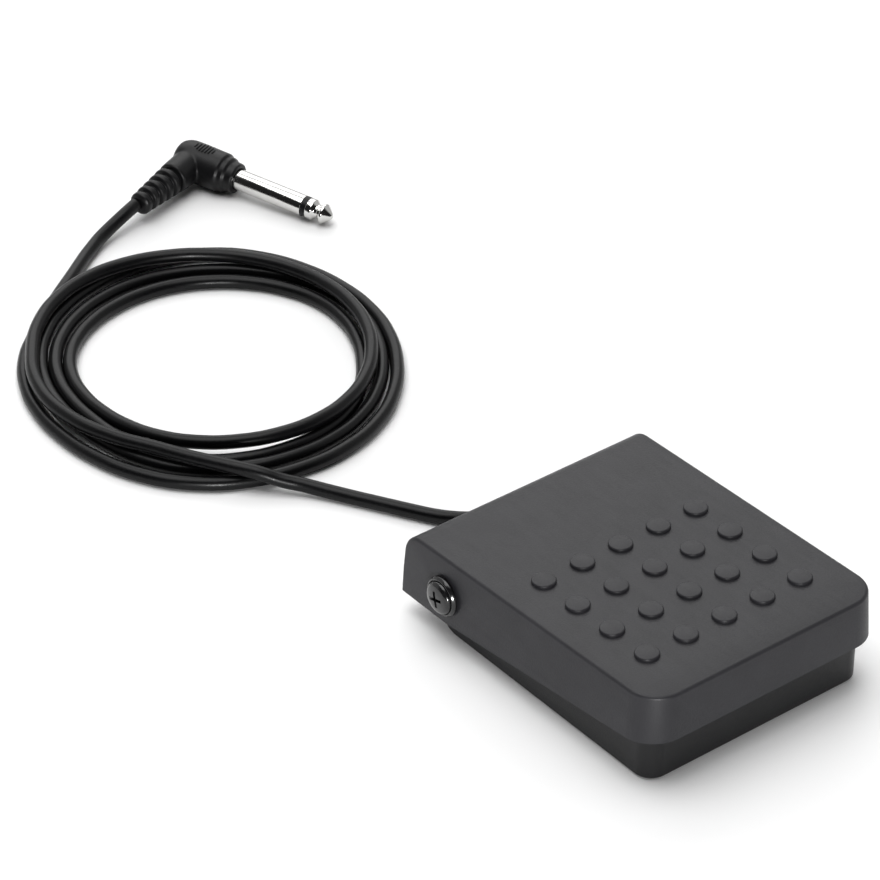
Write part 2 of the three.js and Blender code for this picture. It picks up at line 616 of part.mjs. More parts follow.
function buildPlug() {
  const plug = new THREE.Group();
  plug.position.set(PLUG.x, PLUG.y, PLUG.z);
  const heading = new THREE.Matrix4().makeRotationZ(THREE.MathUtils.degToRad(PLUG.heading));
  const droop = new THREE.Matrix4().makeRotationY(THREE.MathUtils.degToRad(90 + PLUG.droop));
  plug.setRotationFromMatrix(heading.multiply(droop));
  pedal.add(plug);
  addPiece('plug_boot', bootVinyl, plugBoot(), plug);

  const { sleeveRadius: r, seat } = PLUG;
  const end = seat + 24;
  const root = 11.4;
  const bore = [[1.6, end], [1.6, seat + 12], [0, seat + 12]];
  addPiece('plug_sleeve', nickel, turned([[0, root], [r, root], [r, end], ...bore]), plug);
  addPiece('plug_insulator', bootVinyl, collar(1.3, r, end + 0.3, end + 1.6), plug);
  const tip = turned([
    [0, seat + 13], [1, seat + 13], [1, end + 1.9], [r, end + 1.9], [r, end + 3.6], [2.1, end + 4.6],
    [2.1, end + 5.4], [r, end + 6.6], [r, end + 7.2], [0.9, end + 9.6], [0, end + 9.8],
  ]);
  addPiece('plug_tip', nickel, tip, plug);
}

buildTread();
buildTray();
buildMat();
buildPivot(-1, 'left');
buildPivot(1, 'right');
buildSpringAndStops();
buildSwitch();
buildCordEntry();
buildLeadWires();
buildCord();
buildPlug();

export default pedal;
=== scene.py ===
"""Sustain pedal: tread, tray, pivot hardware, switch, captive cord and right-angle jack plug.

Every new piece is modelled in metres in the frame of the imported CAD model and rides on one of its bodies.
Sizes are dataclass fields, kept beside the methods that use them.
"""

from __future__ import annotations

import json
import logging
import math
from dataclasses import dataclass
from enum import Enum
from typing import Callable, Iterable, Sequence

import bmesh
import bpy
from mathutils import Matrix, Vector

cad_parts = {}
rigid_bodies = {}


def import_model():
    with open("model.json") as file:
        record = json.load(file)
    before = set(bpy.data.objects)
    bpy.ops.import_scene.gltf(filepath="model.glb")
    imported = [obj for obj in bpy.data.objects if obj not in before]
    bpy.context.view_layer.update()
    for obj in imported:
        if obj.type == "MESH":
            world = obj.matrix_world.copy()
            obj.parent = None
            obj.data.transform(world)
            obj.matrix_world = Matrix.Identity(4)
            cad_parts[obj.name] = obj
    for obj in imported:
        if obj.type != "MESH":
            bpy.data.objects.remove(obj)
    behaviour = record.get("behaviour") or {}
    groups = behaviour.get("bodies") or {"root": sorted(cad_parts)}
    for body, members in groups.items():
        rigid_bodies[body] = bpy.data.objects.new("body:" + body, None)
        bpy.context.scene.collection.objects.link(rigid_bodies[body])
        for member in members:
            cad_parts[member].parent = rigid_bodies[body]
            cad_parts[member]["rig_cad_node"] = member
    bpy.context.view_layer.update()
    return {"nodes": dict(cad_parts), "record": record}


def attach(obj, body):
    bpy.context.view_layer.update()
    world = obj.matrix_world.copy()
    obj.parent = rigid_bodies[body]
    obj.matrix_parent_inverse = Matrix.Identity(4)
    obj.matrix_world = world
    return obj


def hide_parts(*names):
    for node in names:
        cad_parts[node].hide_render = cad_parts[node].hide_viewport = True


logging.basicConfig(level=logging.INFO, format="%(name)s: %(message)s")
log = logging.getLogger("pedal")

MM = 0.001
PIVOT_Y = 31.2 * MM
PIVOT_Z = 14.6 * MM
CORD_Z = 6 * MM
Point = tuple[float, float, float]
Colour = tuple[float, float, float]


class Side(Enum):
    """The two sides of the pedal, by the sign of X."""

    LEFT = -1
    RIGHT = 1


class Body(Enum):
    """The CAD bodies that pieces ride on."""

    BASE = "base"
    TREAD = "tread"
    CONTACT_ARM = "contact_arm"


class Grain(Enum):
    """Mould texture of a plastic face: size of one grain in metres."""

    FINE = 0.28 * MM
    MEDIUM = 0.45 * MM
    SOFT = 0.9 * MM


# ---------------------------------------------------------------- finishes
class NodeSheet:
    """A small helper around one material's node tree."""

    def __init__(self, name: str) -> None:
        """Start an empty material with a Principled shader.

        Args:
            name: The material's name.
        """
        self.material = bpy.data.materials.new(name)
        self.material.use_nodes = True
        self.tree = self.material.node_tree
        self.tree.nodes.clear()
        self.output = self.tree.nodes.new("ShaderNodeOutputMaterial")
        self.shader = self.tree.nodes.new("ShaderNodeBsdfPrincipled")
        self.join(self.shader.outputs["BSDF"], self.output.inputs["Surface"])

    def join(self, source: bpy.types.NodeSocket, target: bpy.types.NodeSocket) -> None:
        """Link one socket to another."""
        self.tree.links.new(source, target)

    def place(self, scale: Point = (1.0, 1.0, 1.0), turn: Point = (0.0, 0.0, 0.0)) -> bpy.types.NodeSocket:
        """Object coordinates through a Mapping node.

        Args:
            scale: Stretch of the pattern along each axis.
            turn: Rotation of the pattern in radians.

        Returns:
            The mapped vector socket.
        """
        coordinates = self.tree.nodes.new("ShaderNodeTexCoord")
        mapping = self.tree.nodes.new("ShaderNodeMapping")
        mapping.inputs["Scale"].default_value = scale
        mapping.inputs["Rotation"].default_value = turn
        self.join(coordinates.outputs["Object"], mapping.inputs["Vector"])
        return mapping.outputs["Vector"]

    def noise(self, vector: bpy.types.NodeSocket, scale: float, detail: float = 3.0,
              rough: float = 0.5) -> bpy.types.NodeSocket:
        """A noise pattern's factor.

        Args:
            vector: Where the pattern is read.
            scale: Blotches per metre.
            detail: Octaves of detail.
            rough: How strong the finer octaves are.

        Returns:
            The factor socket, about 0.3 to 0.7 over the surface.
        """
        node = self.tree.nodes.new("ShaderNodeTexNoise")
        node.inputs["Scale"].default_value = scale
        node.inputs["Detail"].default_value = detail
        node.inputs["Roughness"].default_value = rough
        self.join(vector, node.inputs["Vector"])
        return node.outputs["Fac"]

    def cells(self, vector: bpy.types.NodeSocket, scale: float) -> bpy.types.NodeSocket:
        """Distance to the nearest of a field of scattered points.

        Args:
            vector: Where the pattern is read.
            scale: Points per metre.

        Returns:
            The distance socket.
        """
        node = self.tree.nodes.new("ShaderNodeTexVoronoi")
        node.inputs["Scale"].default_value = scale
        self.join(vector, node.inputs["Vector"])
        return node.outputs["Distance"]

    def spread(self, factor: bpy.types.NodeSocket, low: float, high: float) -> bpy.types.NodeSocket:
        """Stretch a pattern's middle range to run from low to high.

        Args:
            factor: The pattern.
            low: Value at its low end.
            high: Value at its high end.

        Returns:
            The stretched socket.
        """
        node = self.tree.nodes.new("ShaderNodeMapRange")
        node.inputs["From Min"].default_value = 0.3
        node.inputs["From Max"].default_value = 0.7
        node.inputs["To Min"].default_value = low
        node.inputs["To Max"].default_value = high
        self.join(factor, node.inputs["Value"])
        return node.outputs["Result"]

    def tint(self, factor: bpy.types.NodeSocket, dark: Colour, light: Colour) -> None:
        """Run the base colour between two tones by a pattern.

        Args:
            factor: The pattern.
            dark: Tone at its low end.
            light: Tone at its high end.
        """
        ramp = self.tree.nodes.new("ShaderNodeValToRGB")
        ramp.color_ramp.elements[0].position = 0.32
        ramp.color_ramp.elements[0].color = (*dark, 1.0)
        ramp.color_ramp.elements[1].position = 0.68
        ramp.color_ramp.elements[1].color = (*light, 1.0)
        self.join(factor, ramp.inputs["Fac"])
        self.join(ramp.outputs["Color"], self.shader.inputs["Base Color"])

    def bump(self, height: bpy.types.NodeSocket, strength: float, distance: float,
             below: bpy.types.NodeSocket | None = None) -> bpy.types.NodeSocket:
        """Turn a pattern into surface relief.

        Args:
            height: The pattern.
            strength: Share of the relief that shows.
            distance: Height of the relief in metres.
            below: A relief that this one lies on.

        Returns:
            The normal socket.
        """
        node = self.tree.nodes.new("ShaderNodeBump")
        node.inputs["Strength"].default_value = strength
        node.inputs["Distance"].default_value = distance
        self.join(height, node.inputs["Height"])
        if below is not None:
            self.join(below, node.inputs["Normal"])
        self.join(node.outputs["Normal"], self.shader.inputs["Normal"])
        return node.outputs["Normal"]


def scaled(colour: Colour, factor: float) -> Colour:
    """Make a colour darker or lighter."""
    return tuple(min(channel * factor, 1.0) for channel in colour)


@dataclass(frozen=True)
class MouldedPlastic:
    """Satin injection-moulded plastic with spark-eroded grain, slight mottling and faint handling marks."""

    name: str
    colour: Colour
    roughness: float
    grain: Grain
    relief: float = 0.03 * MM
    specular: float = 0.5

    def material(self) -> bpy.types.Material:
        """Build the material.

        Returns:
            The finished material.
        """
        sheet = NodeSheet(self.name)
        sheet.shader.inputs["Specular IOR Level"].default_value = self.specular
        place = sheet.place()
        mottle = sheet.noise(place, 90.0, 4.0)
        sheet.tint(mottle, scaled(self.colour, 0.9), scaled(self.colour, 1.1))
        marks = sheet.noise(sheet.place(scale=(1.0, 0.12, 1.0), turn=(0.0, 0.0, 0.4)), 700.0, 2.0)
        grain = sheet.noise(place, 1.0 / self.grain.value, 2.0, 0.6)
        mix = sheet.tree.nodes.new("ShaderNodeMath")
        mix.operation = "ADD"
        sheet.join(sheet.spread(marks, -0.02, 0.02), mix.inputs[0])
        sheet.join(sheet.spread(grain, self.roughness - 0.05, self.roughness + 0.05), mix.inputs[1])
        sheet.join(mix.outputs["Value"], sheet.shader.inputs["Roughness"])
        wave = sheet.bump(sheet.noise(place, 120.0, 2.0), 0.25, 0.05 * MM)
        sheet.bump(grain, 1.0, self.relief, wave)
        return sheet.material


@dataclass(frozen=True)
class SoftVinyl:
    """Flexible moulded or extruded vinyl: darker, with a soft sheen and a faint drawn texture."""

    name: str
    colour: Colour
    roughness: float
    relief: float = 0.02 * MM
    specular: float = 0.3

    def material(self) -> bpy.types.Material:
        """Build the material.

        Returns:
            The finished material.
        """
        sheet = NodeSheet(self.name)
        sheet.shader.inputs["Specular IOR Level"].default_value = self.specular
        place = sheet.place()
        cloud = sheet.noise(place, 160.0, 3.0)
        sheet.tint(cloud, scaled(self.colour, 0.85), scaled(self.colour, 1.15))
        fine = sheet.noise(place, 2400.0, 2.0)
        sheen = sheet.spread(fine, self.roughness - 0.05, self.roughness + 0.06)
        sheet.join(sheen, sheet.shader.inputs["Roughness"])
        slow = sheet.bump(cloud, 0.3, 0.06 * MM)
        sheet.bump(fine, 0.8, self.relief, slow)
        return sheet.material


@dataclass(frozen=True)
class Rubber:
    """Matt rubber with a pebbled skin."""

    name: str
    colour: Colour
    pebble: float = 0.7 * MM

    def material(self) -> bpy.types.Material:
        """Build the material.

        Returns:
            The finished material.
        """
        sheet = NodeSheet(self.name)
        place = sheet.place()
        cells = sheet.cells(place, 1.0 / self.pebble)
        dust = sheet.noise(place, 60.0, 5.0)
        sheet.tint(dust, scaled(self.colour, 0.8), scaled(self.colour, 1.35))
        sheet.join(sheet.spread(dust, 0.78, 0.92), sheet.shader.inputs["Roughness"])
        sheet.bump(cells, 0.6, 0.12 * MM)
        return sheet.material


@dataclass(frozen=True)
class Metal:
    """Turned, rolled or plated metal with fine tool lines along one direction."""

    name: str
    colour: Colour
    roughness: float
    lines: Point = (1.0, 1.0, 1.0)
    turn: Point = (0.0, 0.0, 0.0)
    relief: float = 0.002 * MM
    metallic: float = 1.0
    coat: float = 0.0

    def material(self) -> bpy.types.Material:
        """Build the material.

        Returns:
            The finished material.
        """
        sheet = NodeSheet(self.name)
        sheet.shader.inputs["Metallic"].default_value = self.metallic
        sheet.shader.inputs["Coat Weight"].default_value = self.coat
        sheet.shader.inputs["Coat Roughness"].default_value = 0.08
        haze = sheet.noise(sheet.place(), 300.0, 4.0)
        sheet.tint(haze, scaled(self.colour, 0.92), scaled(self.colour, 1.04))
        tool = sheet.noise(sheet.place(scale=self.lines, turn=self.turn), 1500.0, 3.0)
        sheen = sheet.spread(tool, self.roughness * 0.75, self.roughness * 1.3)
        sheet.join(sheen, sheet.shader.inputs["Roughness"])
        sheet.bump(tool, 0.5, self.relief)
        return sheet.material


@dataclass(frozen=True)
class Laminate:
    """Cotton-phenolic sheet: brown, with a woven fleck."""

    name: str
    colour: Colour

    def material(self) -> bpy.types.Material:
        """Build the material.

        Returns:
            The finished material.
        """
        sheet = NodeSheet(self.name)
        weave = sheet.noise(sheet.place(scale=(1.0, 1.0, 6.0)), 1400.0, 3.0)
        sheet.tint(weave, scaled(self.colour, 0.7), scaled(self.colour, 1.3))
        sheet.join(sheet.spread(weave, 0.45, 0.65), sheet.shader.inputs["Roughness"])
        sheet.bump(weave, 0.5, 0.02 * MM)
        return sheet.material


class FinishShelf:
    """Every finish of the pedal, each made once."""

    def __init__(self) -> None:
        """Build all the materials."""
        finishes = {
            "tread_plastic": MouldedPlastic(
                "tread_plastic", (0.0165, 0.0162, 0.0187), 0.44, Grain.MEDIUM, specular=0.27),
            # The tray's base colour is darker than the tread's as painted shade for the shadow under the
            # tread's skirt.
            "tray_plastic": MouldedPlastic(
                "tray_plastic", (0.006, 0.006, 0.0065), 0.4, Grain.FINE, specular=0.24),
            "cord_vinyl": SoftVinyl("cord_vinyl", (0.002, 0.002, 0.0023), 0.32, specular=0.2),
            "boot_vinyl": SoftVinyl(
                "boot_vinyl", (0.003, 0.003, 0.0034), 0.38, relief=0.03 * MM, specular=0.24),
            "rubber": Rubber("rubber", (0.014, 0.014, 0.014)),
            "black_steel": Metal("black_steel", (0.006, 0.006, 0.0065), 0.2, metallic=0.2, coat=0.35),
            "spring_steel": Metal("spring_steel", (0.52, 0.54, 0.56), 0.28, lines=(1.0, 1.0, 0.1)),
            "brass": Metal("brass", (0.62, 0.47, 0.2), 0.3, lines=(1.0, 0.05, 1.0)),
            "nickel": Metal("nickel", (0.66, 0.655, 0.64), 0.1, relief=0.0003 * MM),
            "nylon": MouldedPlastic("nylon", (0.74, 0.71, 0.63), 0.45, Grain.SOFT),
            "phenolic": Laminate("phenolic", (0.10, 0.045, 0.02)),
        }
        self.materials: dict[str, bpy.types.Material] = {
            slot: finish.material() for slot, finish in finishes.items()
        }

    def dress(self, piece: bpy.types.Object, slot: str) -> None:
        """Give a piece one finish, and name its slot.

        Args:
            piece: A new piece or a carried-over CAD node.
            slot: The record's material slot.
        """
        piece.data.materials.clear()
        piece.data.materials.append(self.materials[slot])


# ---------------------------------------------------------------- mesh tools
def new_piece(name: str, mesh: bmesh.types.BMesh, smooth_angle: float = 32.0) -> bpy.types.Object:
    """Turn a bmesh into an object at the origin, shaded smooth up to an edge angle.

    Args:
        name: The piece's name.
        mesh: Its shape, in row-frame metres; it is freed.
        smooth_angle: Edges sharper than this many degrees stay crisp.

    Returns:
        The new object.
    """
    for face in mesh.faces:
        face.smooth = True
    data = bpy.data.meshes.new(name)
    mesh.to_mesh(data)
    mesh.free()
    piece = bpy.data.objects.new(name, data)
    bpy.context.scene.collection.objects.link(piece)
    data.set_sharp_from_angle(angle=math.radians(smooth_angle))
    return piece


def seat(piece: bpy.types.Object, body: Body, replaced: Iterable[str] = ()) -> bpy.types.Object:
    """Let a piece ride on a body and stand for CAD nodes.

    Args:
        piece: The new piece.
        body: The body it moves with.
        replaced: Names of the CAD nodes that it stands for.

    Returns:
        The same piece.
    """
    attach(piece, body.value)
    names = list(replaced)
    if names:
        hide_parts(*names)
    log.info("%s rides on %s, %d faces", piece.name, body.value, len(getattr(piece.data, "polygons", ())))
    return piece


def baked(piece: bpy.types.Object) -> None:
    """Apply a piece's modifiers to its mesh.

    Args:
        piece: The piece, whose modifiers are used up.
    """
    graph = bpy.context.evaluated_depsgraph_get()
    data = bpy.data.meshes.new_from_object(piece.evaluated_get(graph))
    piece.modifiers.clear()
    old = piece.data
    piece.data = data
    bpy.data.meshes.remove(old)
    data.name = piece.name


def combine(piece: bpy.types.Object, tool_mesh: bmesh.types.BMesh, operation: str) -> None:
    """Join or cut a piece with a tool shape.

    Args:
        piece: The object that is changed.
        tool_mesh: The tool, freed afterwards.
        operation: UNION or DIFFERENCE.
    """
    tool = new_piece("tool", tool_mesh)
    modifier = piece.modifiers.new("join", "BOOLEAN")
    modifier.operation = operation
    modifier.solver = "EXACT"
    modifier.use_self = operation == "UNION"
    modifier.object = tool
    baked(piece)
    data = tool.data
    bpy.data.objects.remove(tool)
    bpy.data.meshes.remove(data)


def smoothed(piece: bpy.types.Object, angle: float = 32.0) -> None:
    """Shade a piece smooth again after its mesh was cut.

    Args:
        piece: The piece.
        angle: Edges sharper than this many degrees stay crisp.
    """
    piece.data.polygons.foreach_set("use_smooth", [True] * len(piece.data.polygons))
    piece.data.set_sharp_from_angle(angle=math.radians(angle))
    piece.data.update()


def block(mesh: bmesh.types.BMesh, low: Point, high: Point) -> list[bmesh.types.BMVert]:
    """Add a box between two corners, in metres.

    Args:
        mesh: The mesh it is added to.
        low: The corner with the lowest coordinates.
        high: The corner with the highest coordinates.

    Returns:
        The new vertices.
    """
    made = bmesh.ops.create_cube(mesh, size=1.0)["verts"]
    size = [b - a for a, b in zip(low, high)]
    bmesh.ops.scale(mesh, vec=size, verts=made)
    bmesh.ops.translate(mesh, vec=[(a + b) / 2 for a, b in zip(low, high)], verts=made)
    return made


def rod(mesh: bmesh.types.BMesh, place: Matrix, radius: float, low: float, high: float,
        segments: int = 32, tip: float | None = None) -> list[bmesh.types.BMVert]:
    """Add a capped cylinder or cone along the local Z of a placement.

    Args:
        mesh: The mesh it is added to.
        place: Where the local origin and axes are.
        radius: Radius at the low end.
        low: Start along local Z.
        high: End along local Z.
        segments: Sides.
        tip: Radius at the high end, if it differs.

    Returns:
        The new vertices.
    """
    centre = place @ Matrix.Translation((0.0, 0.0, (low + high) / 2))
    return bmesh.ops.create_cone(
        mesh, cap_ends=True, segments=segments, radius1=radius, radius2=radius if tip is None else tip,
        depth=high - low, matrix=centre,
    )["verts"]


def spun(profile: Sequence[tuple[float, float]], place: Matrix, steps: int = 64) -> bmesh.types.BMesh:
    """Spin an open profile that starts and ends on the axis into a closed solid.

    Args:
        profile: (radius, height) pairs in metres.
        place: Where the axis stands.
        steps: Sides of the full turn.

    Returns:
        The closed mesh with outward faces.
    """
    mesh = bmesh.new()
    line = [mesh.verts.new((radius, 0.0, height)) for radius, height in profile]
    edges = [mesh.edges.new(pair) for pair in zip(line, line[1:])]
    bmesh.ops.spin(
        mesh, geom=line + edges, cent=(0.0, 0.0, 0.0), axis=(0.0, 0.0, 1.0), angle=math.tau, steps=steps,
        use_merge=True,
    )
    bmesh.ops.remove_doubles(mesh, verts=mesh.verts[:], dist=1e-7)
    bmesh.ops.recalc_face_normals(mesh, faces=mesh.faces[:])
    bmesh.ops.transform(mesh, matrix=place, verts=mesh.verts[:])
    return mesh


def rounded(profile: Sequence[tuple[float, float, float]], steps: int = 4) -> list[tuple[float, float]]:
    """Round the corners of a profile.

    Args:
        profile: (radius, height, corner radius) triples in millimetres.
        steps: Points along each rounded corner.

    Returns:
        (radius, height) pairs in metres.
    """
    points: list[tuple[float, float]] = []
    last = len(profile) - 1
    for index, (radius, height, corner) in enumerate(profile):
        here = Vector((radius, height))
        if index in (0, last) or corner <= 0.0:
            points.append((radius * MM, height * MM))
            continue
        before = Vector(profile[index - 1][:2]) - here
        after = Vector(profile[index + 1][:2]) - here
        reach = min(corner, before.length * 0.49, after.length * 0.49)
        start = here + before.normalized() * reach
        end = here + after.normalized() * reach
        for step in range(steps + 1):
            t = step / steps
            bend = start * (1 - t) ** 2 + here * 2 * t * (1 - t) + end * t ** 2
            points.append((bend.x * MM, bend.y * MM))
    return points


def edges_where(mesh: bmesh.types.BMesh, test: Callable[[Vector, Vector], bool]) -> list[bmesh.types.BMEdge]:
    """Edges whose two ends pass a test."""
    return [edge for edge in mesh.edges if test(edge.verts[0].co, edge.verts[1].co)]


def bevel(mesh: bmesh.types.BMesh, edges: list[bmesh.types.BMEdge], width: float, segments: int) -> None:
    """Round some edges.

    Args:
        mesh: The mesh.
        edges: The edges to round.
        width: How far the rounding reaches from each edge.
        segments: Facets across the rounding.
    """
    bmesh.ops.bevel(
        mesh, geom=edges, offset=width, offset_type="OFFSET", segments=segments, profile=0.5, affect="EDGES",
        clamp_overlap=True, material=-1,
    )


def trim(mesh: bmesh.types.BMesh, point: Point, normal: Point, cap: bool) -> None:
    """Cut away what lies on the normal's side of a plane.

    Args:
        mesh: The mesh.
        point: A point on the plane.
        normal: The plane's normal, which points at what goes.
        cap: True to close the cut with a face.
    """
    geometry = mesh.verts[:] + mesh.edges[:] + mesh.faces[:]
    cut = bmesh.ops.bisect_plane(
        mesh, geom=geometry, plane_co=point, plane_no=normal, clear_outer=True, dist=1e-7,
    )["geom_cut"]
    if cap:
        rim = [item for item in cut if isinstance(item, bmesh.types.BMEdge)]
        bmesh.ops.contextual_create(mesh, geom=rim)


def plan_block(half_width: float, front: float, rear: float, toe: float, heel: float, low: float, high: float,
               ) -> bmesh.types.BMesh:
    """Upright block with rounded toe and heel corners, all in metres.

    Args:
        half_width: Half the width.
        front: Y of the toe end.
        rear: Y of the heel end.
        toe: Radius of the upright toe corners.
        heel: Radius of the upright heel corners, or 0 for sharp ones.
        low: Height of the underside.
        high: Height of the top.

    Returns:
        The closed mesh.
    """
    mesh = bmesh.new()
    block(mesh, (-half_width, front, low), (half_width, rear, high))
    upright = edges_where(mesh, lambda a, b: abs(a.z - b.z) > 0.001 and a.y < 0.0 and b.y < 0.0)
    bevel(mesh, upright, toe, 14)
    if heel > 0.0:
        upright = edges_where(mesh, lambda a, b: abs(a.z - b.z) > 0.001 and min(a.y, b.y) > rear - 1e-6)
        bevel(mesh, upright, heel, 4)
    return mesh


def crisp_edges(mesh: bmesh.types.BMesh, spared: Callable[[Vector], bool]) -> list[bmesh.types.BMEdge]:
    """Sharp edges of a closed mesh, leaving out those of some faces.

    Args:
        mesh: The mesh.
        spared: Test on a face normal; edges of faces that pass it stay sharp.

    Returns:
        The edges.
    """
    bmesh.ops.recalc_face_normals(mesh, faces=mesh.faces[:])
    mesh.normal_update()
    limit = math.radians(50.0)
    return [edge for edge in mesh.edges if edge.calc_face_angle(0.0) > limit
            and not any(spared(face.normal) for face in edge.link_faces)]


def lean(mesh: bmesh.types.BMesh, level: float, half_width: float, half_length: float, middle: float,
         draft: float) -> None:
    """Give upright walls a mould draft: wider below the level for a positive draft.

    Args:
        mesh: The block, whose vertices move.
        level: Height at which the plan keeps its size.
        half_width: Half the width there.
        half_length: Half the length there.
        middle: Y of the plan's middle.
        draft: Sideways shift per unit of height.
    """
    for height in {round(vertex.co.z, 7) for vertex in mesh.verts}:
        ring = [vertex for vertex in mesh.verts if abs(vertex.co.z - height) < 1e-6]
        shift = (level - height) * draft
        bmesh.ops.scale(
            mesh, vec=(1 + shift / half_width, 1 + shift / half_length, 1.0), verts=ring,
            space=Matrix.Translation((0.0, -middle, 0.0)),
        )


# ---------------------------------------------------------------- tread
@dataclass
class Tread:
    """The hinged foot plate: an open-bottomed shell with grip studs, ribs and pegs underneath."""

    half_width: float = 39.0 * MM
    front: float = -48.6 * MM
    rear: float = 48.6 * MM
    toe_radius: float = 9.4 * MM
    edge_radius: float = 0.9 * MM
    wall: float = 2.2 * MM
    draft: float = 0.052
    level: float = 14.0 * MM
    top_z: float = 26.7 * MM
    top_y: float = -11.1 * MM
    fall: float = 0.0316
    rear_round: float = 5.6 * MM
    skirt_front: float = 14.3 * MM
    skirt_slope: float = 0.1003
    skirt_rear: float = 6.4 * MM
    studs_across: int = 5
    studs_along: int = 4
    pitch_x: float = 12.7 * MM
    pitch_y: float = 13.18 * MM
    stud_radius: float = 3.25 * MM
    stud_rise: float = 0.9 * MM
    stud_round: float = 0.38 * MM
    stud_sunk: float = 0.8 * MM
    rib_x: float = 20 * MM
    rib_half: float = 0.7 * MM
    stop_x: float = 28 * MM
    stop_y: float = -38 * MM
    spring_y: float = -25 * MM
    actuator_x: float = 14 * MM
    actuator_y: float = -5 * MM
    stop_half_width: float = 24 * MM

    def top_at(self, y: float) -> float:
        """Height of the top face at a place along the tread."""
        return self.top_z - self.fall * (y - self.top_y)

    def form(self, inset: float, open_below: bool) -> bmesh.types.BMesh:
        """One closed form of the tread: its outside, or the hollow inside it.

        Args:
            inset: How far inside the outer skin it lies.
            open_below: True for the hollow, which runs on below the skirt.

        Returns:
            The closed mesh.
        """
        half_width = self.half_width - inset
        front = self.front + inset
        rear = self.rear - inset
        mesh = plan_block(half_width, front, rear, self.toe_radius - inset, 0.0, -0.02, 0.04)
        lean(mesh, self.level, half_width, (rear - front) / 2, (rear + front) / 2, self.draft)
        trim(mesh, (0.0, rear, 0.0), (0.0, 1.0, 0.0), cap=True)
        trim(mesh, (0.0, self.top_y, self.top_z - inset), (0.0, self.fall, 1.0), cap=True)
        heel = edges_where(mesh, lambda a, b: min(a.y, b.y) > rear - 2.0 * MM and min(a.z, b.z) > 0.02
                           and abs(a.x - b.x) > 0.03)
        bevel(mesh, heel, self.rear_round - inset, 10)
        if not open_below:
            trim(mesh, (0.0, self.front, self.skirt_front), (0.0, -self.skirt_slope, -1.0), cap=True)
            trim(mesh, (0.0, 0.0, self.skirt_rear), (0.0, 0.0, -1.0), cap=True)
        bevel(mesh, crisp_edges(mesh, lambda normal: normal.z < -0.5), self.edge_radius, 4)
        bmesh.ops.recalc_face_normals(mesh, faces=mesh.faces[:])
        return mesh

    def shell(self) -> bpy.types.Object:
        """Hollow the outside form.

        Returns:
            The shell, not yet dressed.
        """
        piece = new_piece("tread", self.form(0.0, open_below=False))
        combine(piece, self.form(self.wall, open_below=True), "DIFFERENCE")
        return piece

    def studs(self, piece: bpy.types.Object) -> None:
        """Join the grip studs to the top face.

        Args:
            piece: The tread's shell.
        """
        mesh = bmesh.new()
        tilt = Matrix.Rotation(-math.atan(self.fall), 4, "X")
        for row in range(self.studs_along):
            for column in range(self.studs_across):
                x = (column - (self.studs_across - 1) / 2) * self.pitch_x
                y = self.top_y + (row - (self.studs_along - 1) / 2) * self.pitch_y
                place = Matrix.Translation((x, y, self.top_at(y))) @ tilt
                made = set(rod(mesh, place, self.stud_radius, -self.stud_sunk, self.stud_rise, 48))
                rim = [e for e in mesh.edges if e.verts[0] in made and e.verts[1] in made
                       and min((place.inverted() @ v.co).z for v in e.verts) > self.stud_rise * 0.9]
                bevel(mesh, rim, self.stud_round, 4)
        combine(piece, mesh, "UNION")

    def underside(self, piece: bpy.types.Object) -> None:
        """Join the ribs, stop pegs, spring boss and actuator, and cut the pivot holes and the cord notch.

        Args:
            piece: The tread's shell.
        """
        mesh = bmesh.new()
        for sign in (-1.0, 1.0):
            rib = sign * self.rib_x
            block(mesh, (rib - self.rib_half, -41.2 * MM, 22.4 * MM),
                  (rib + self.rib_half, 33.6 * MM, 24.4 * MM))
            peg = Matrix.Translation((sign * self.stop_x, self.stop_y, 0.0))
            rod(mesh, peg, 3 * MM, 19.6 * MM, 26 * MM)
        boss = Matrix.Translation((0.0, self.spring_y, 0.0))
        rod(mesh, boss, 3.4 * MM, 20 * MM, 25.6 * MM)
        actuator = Matrix.Translation((self.actuator_x, self.actuator_y, 0.0))
        rod(mesh, actuator, 2.0 * MM, 15.2 * MM, 25 * MM)
        rod(mesh, actuator, 1.2 * MM, 13.8 * MM, 15.3 * MM, tip=2.0 * MM)
        combine(piece, mesh, "UNION")
        mesh = bmesh.new()
        block(mesh, (-self.stop_half_width, 33.6 * MM, 20.8 * MM),
              (self.stop_half_width, 36.4 * MM, 24.0 * MM))
        combine(piece, mesh, "UNION")
        mesh = bmesh.new()
        across = Matrix.Translation((0.0, PIVOT_Y, PIVOT_Z)) @ Matrix.Rotation(math.pi / 2, 4, "Y")
        rod(mesh, across, 3.3 * MM, -60 * MM, 60 * MM, 40)
        combine(piece, mesh, "DIFFERENCE")
        mesh = bmesh.new()
        along = Matrix.Translation((0.0, 46 * MM, CORD_Z)) @ Matrix.Rotation(math.pi / 2, 4, "X")
        rod(mesh, along, 4.4 * MM, -5 * MM, 5 * MM, 40)
        combine(piece, mesh, "DIFFERENCE")

    def build(self, shelf: FinishShelf) -> None:
        """Model and dress the tread.

        Args:
            shelf: The finishes.
        """
        piece = self.shell()
        self.studs(piece)
        self.underside(piece)
        smoothed(piece, 35.0)
        shelf.dress(piece, "tread_plastic")
        seat(piece, Body.TREAD, ["tread_shell"])


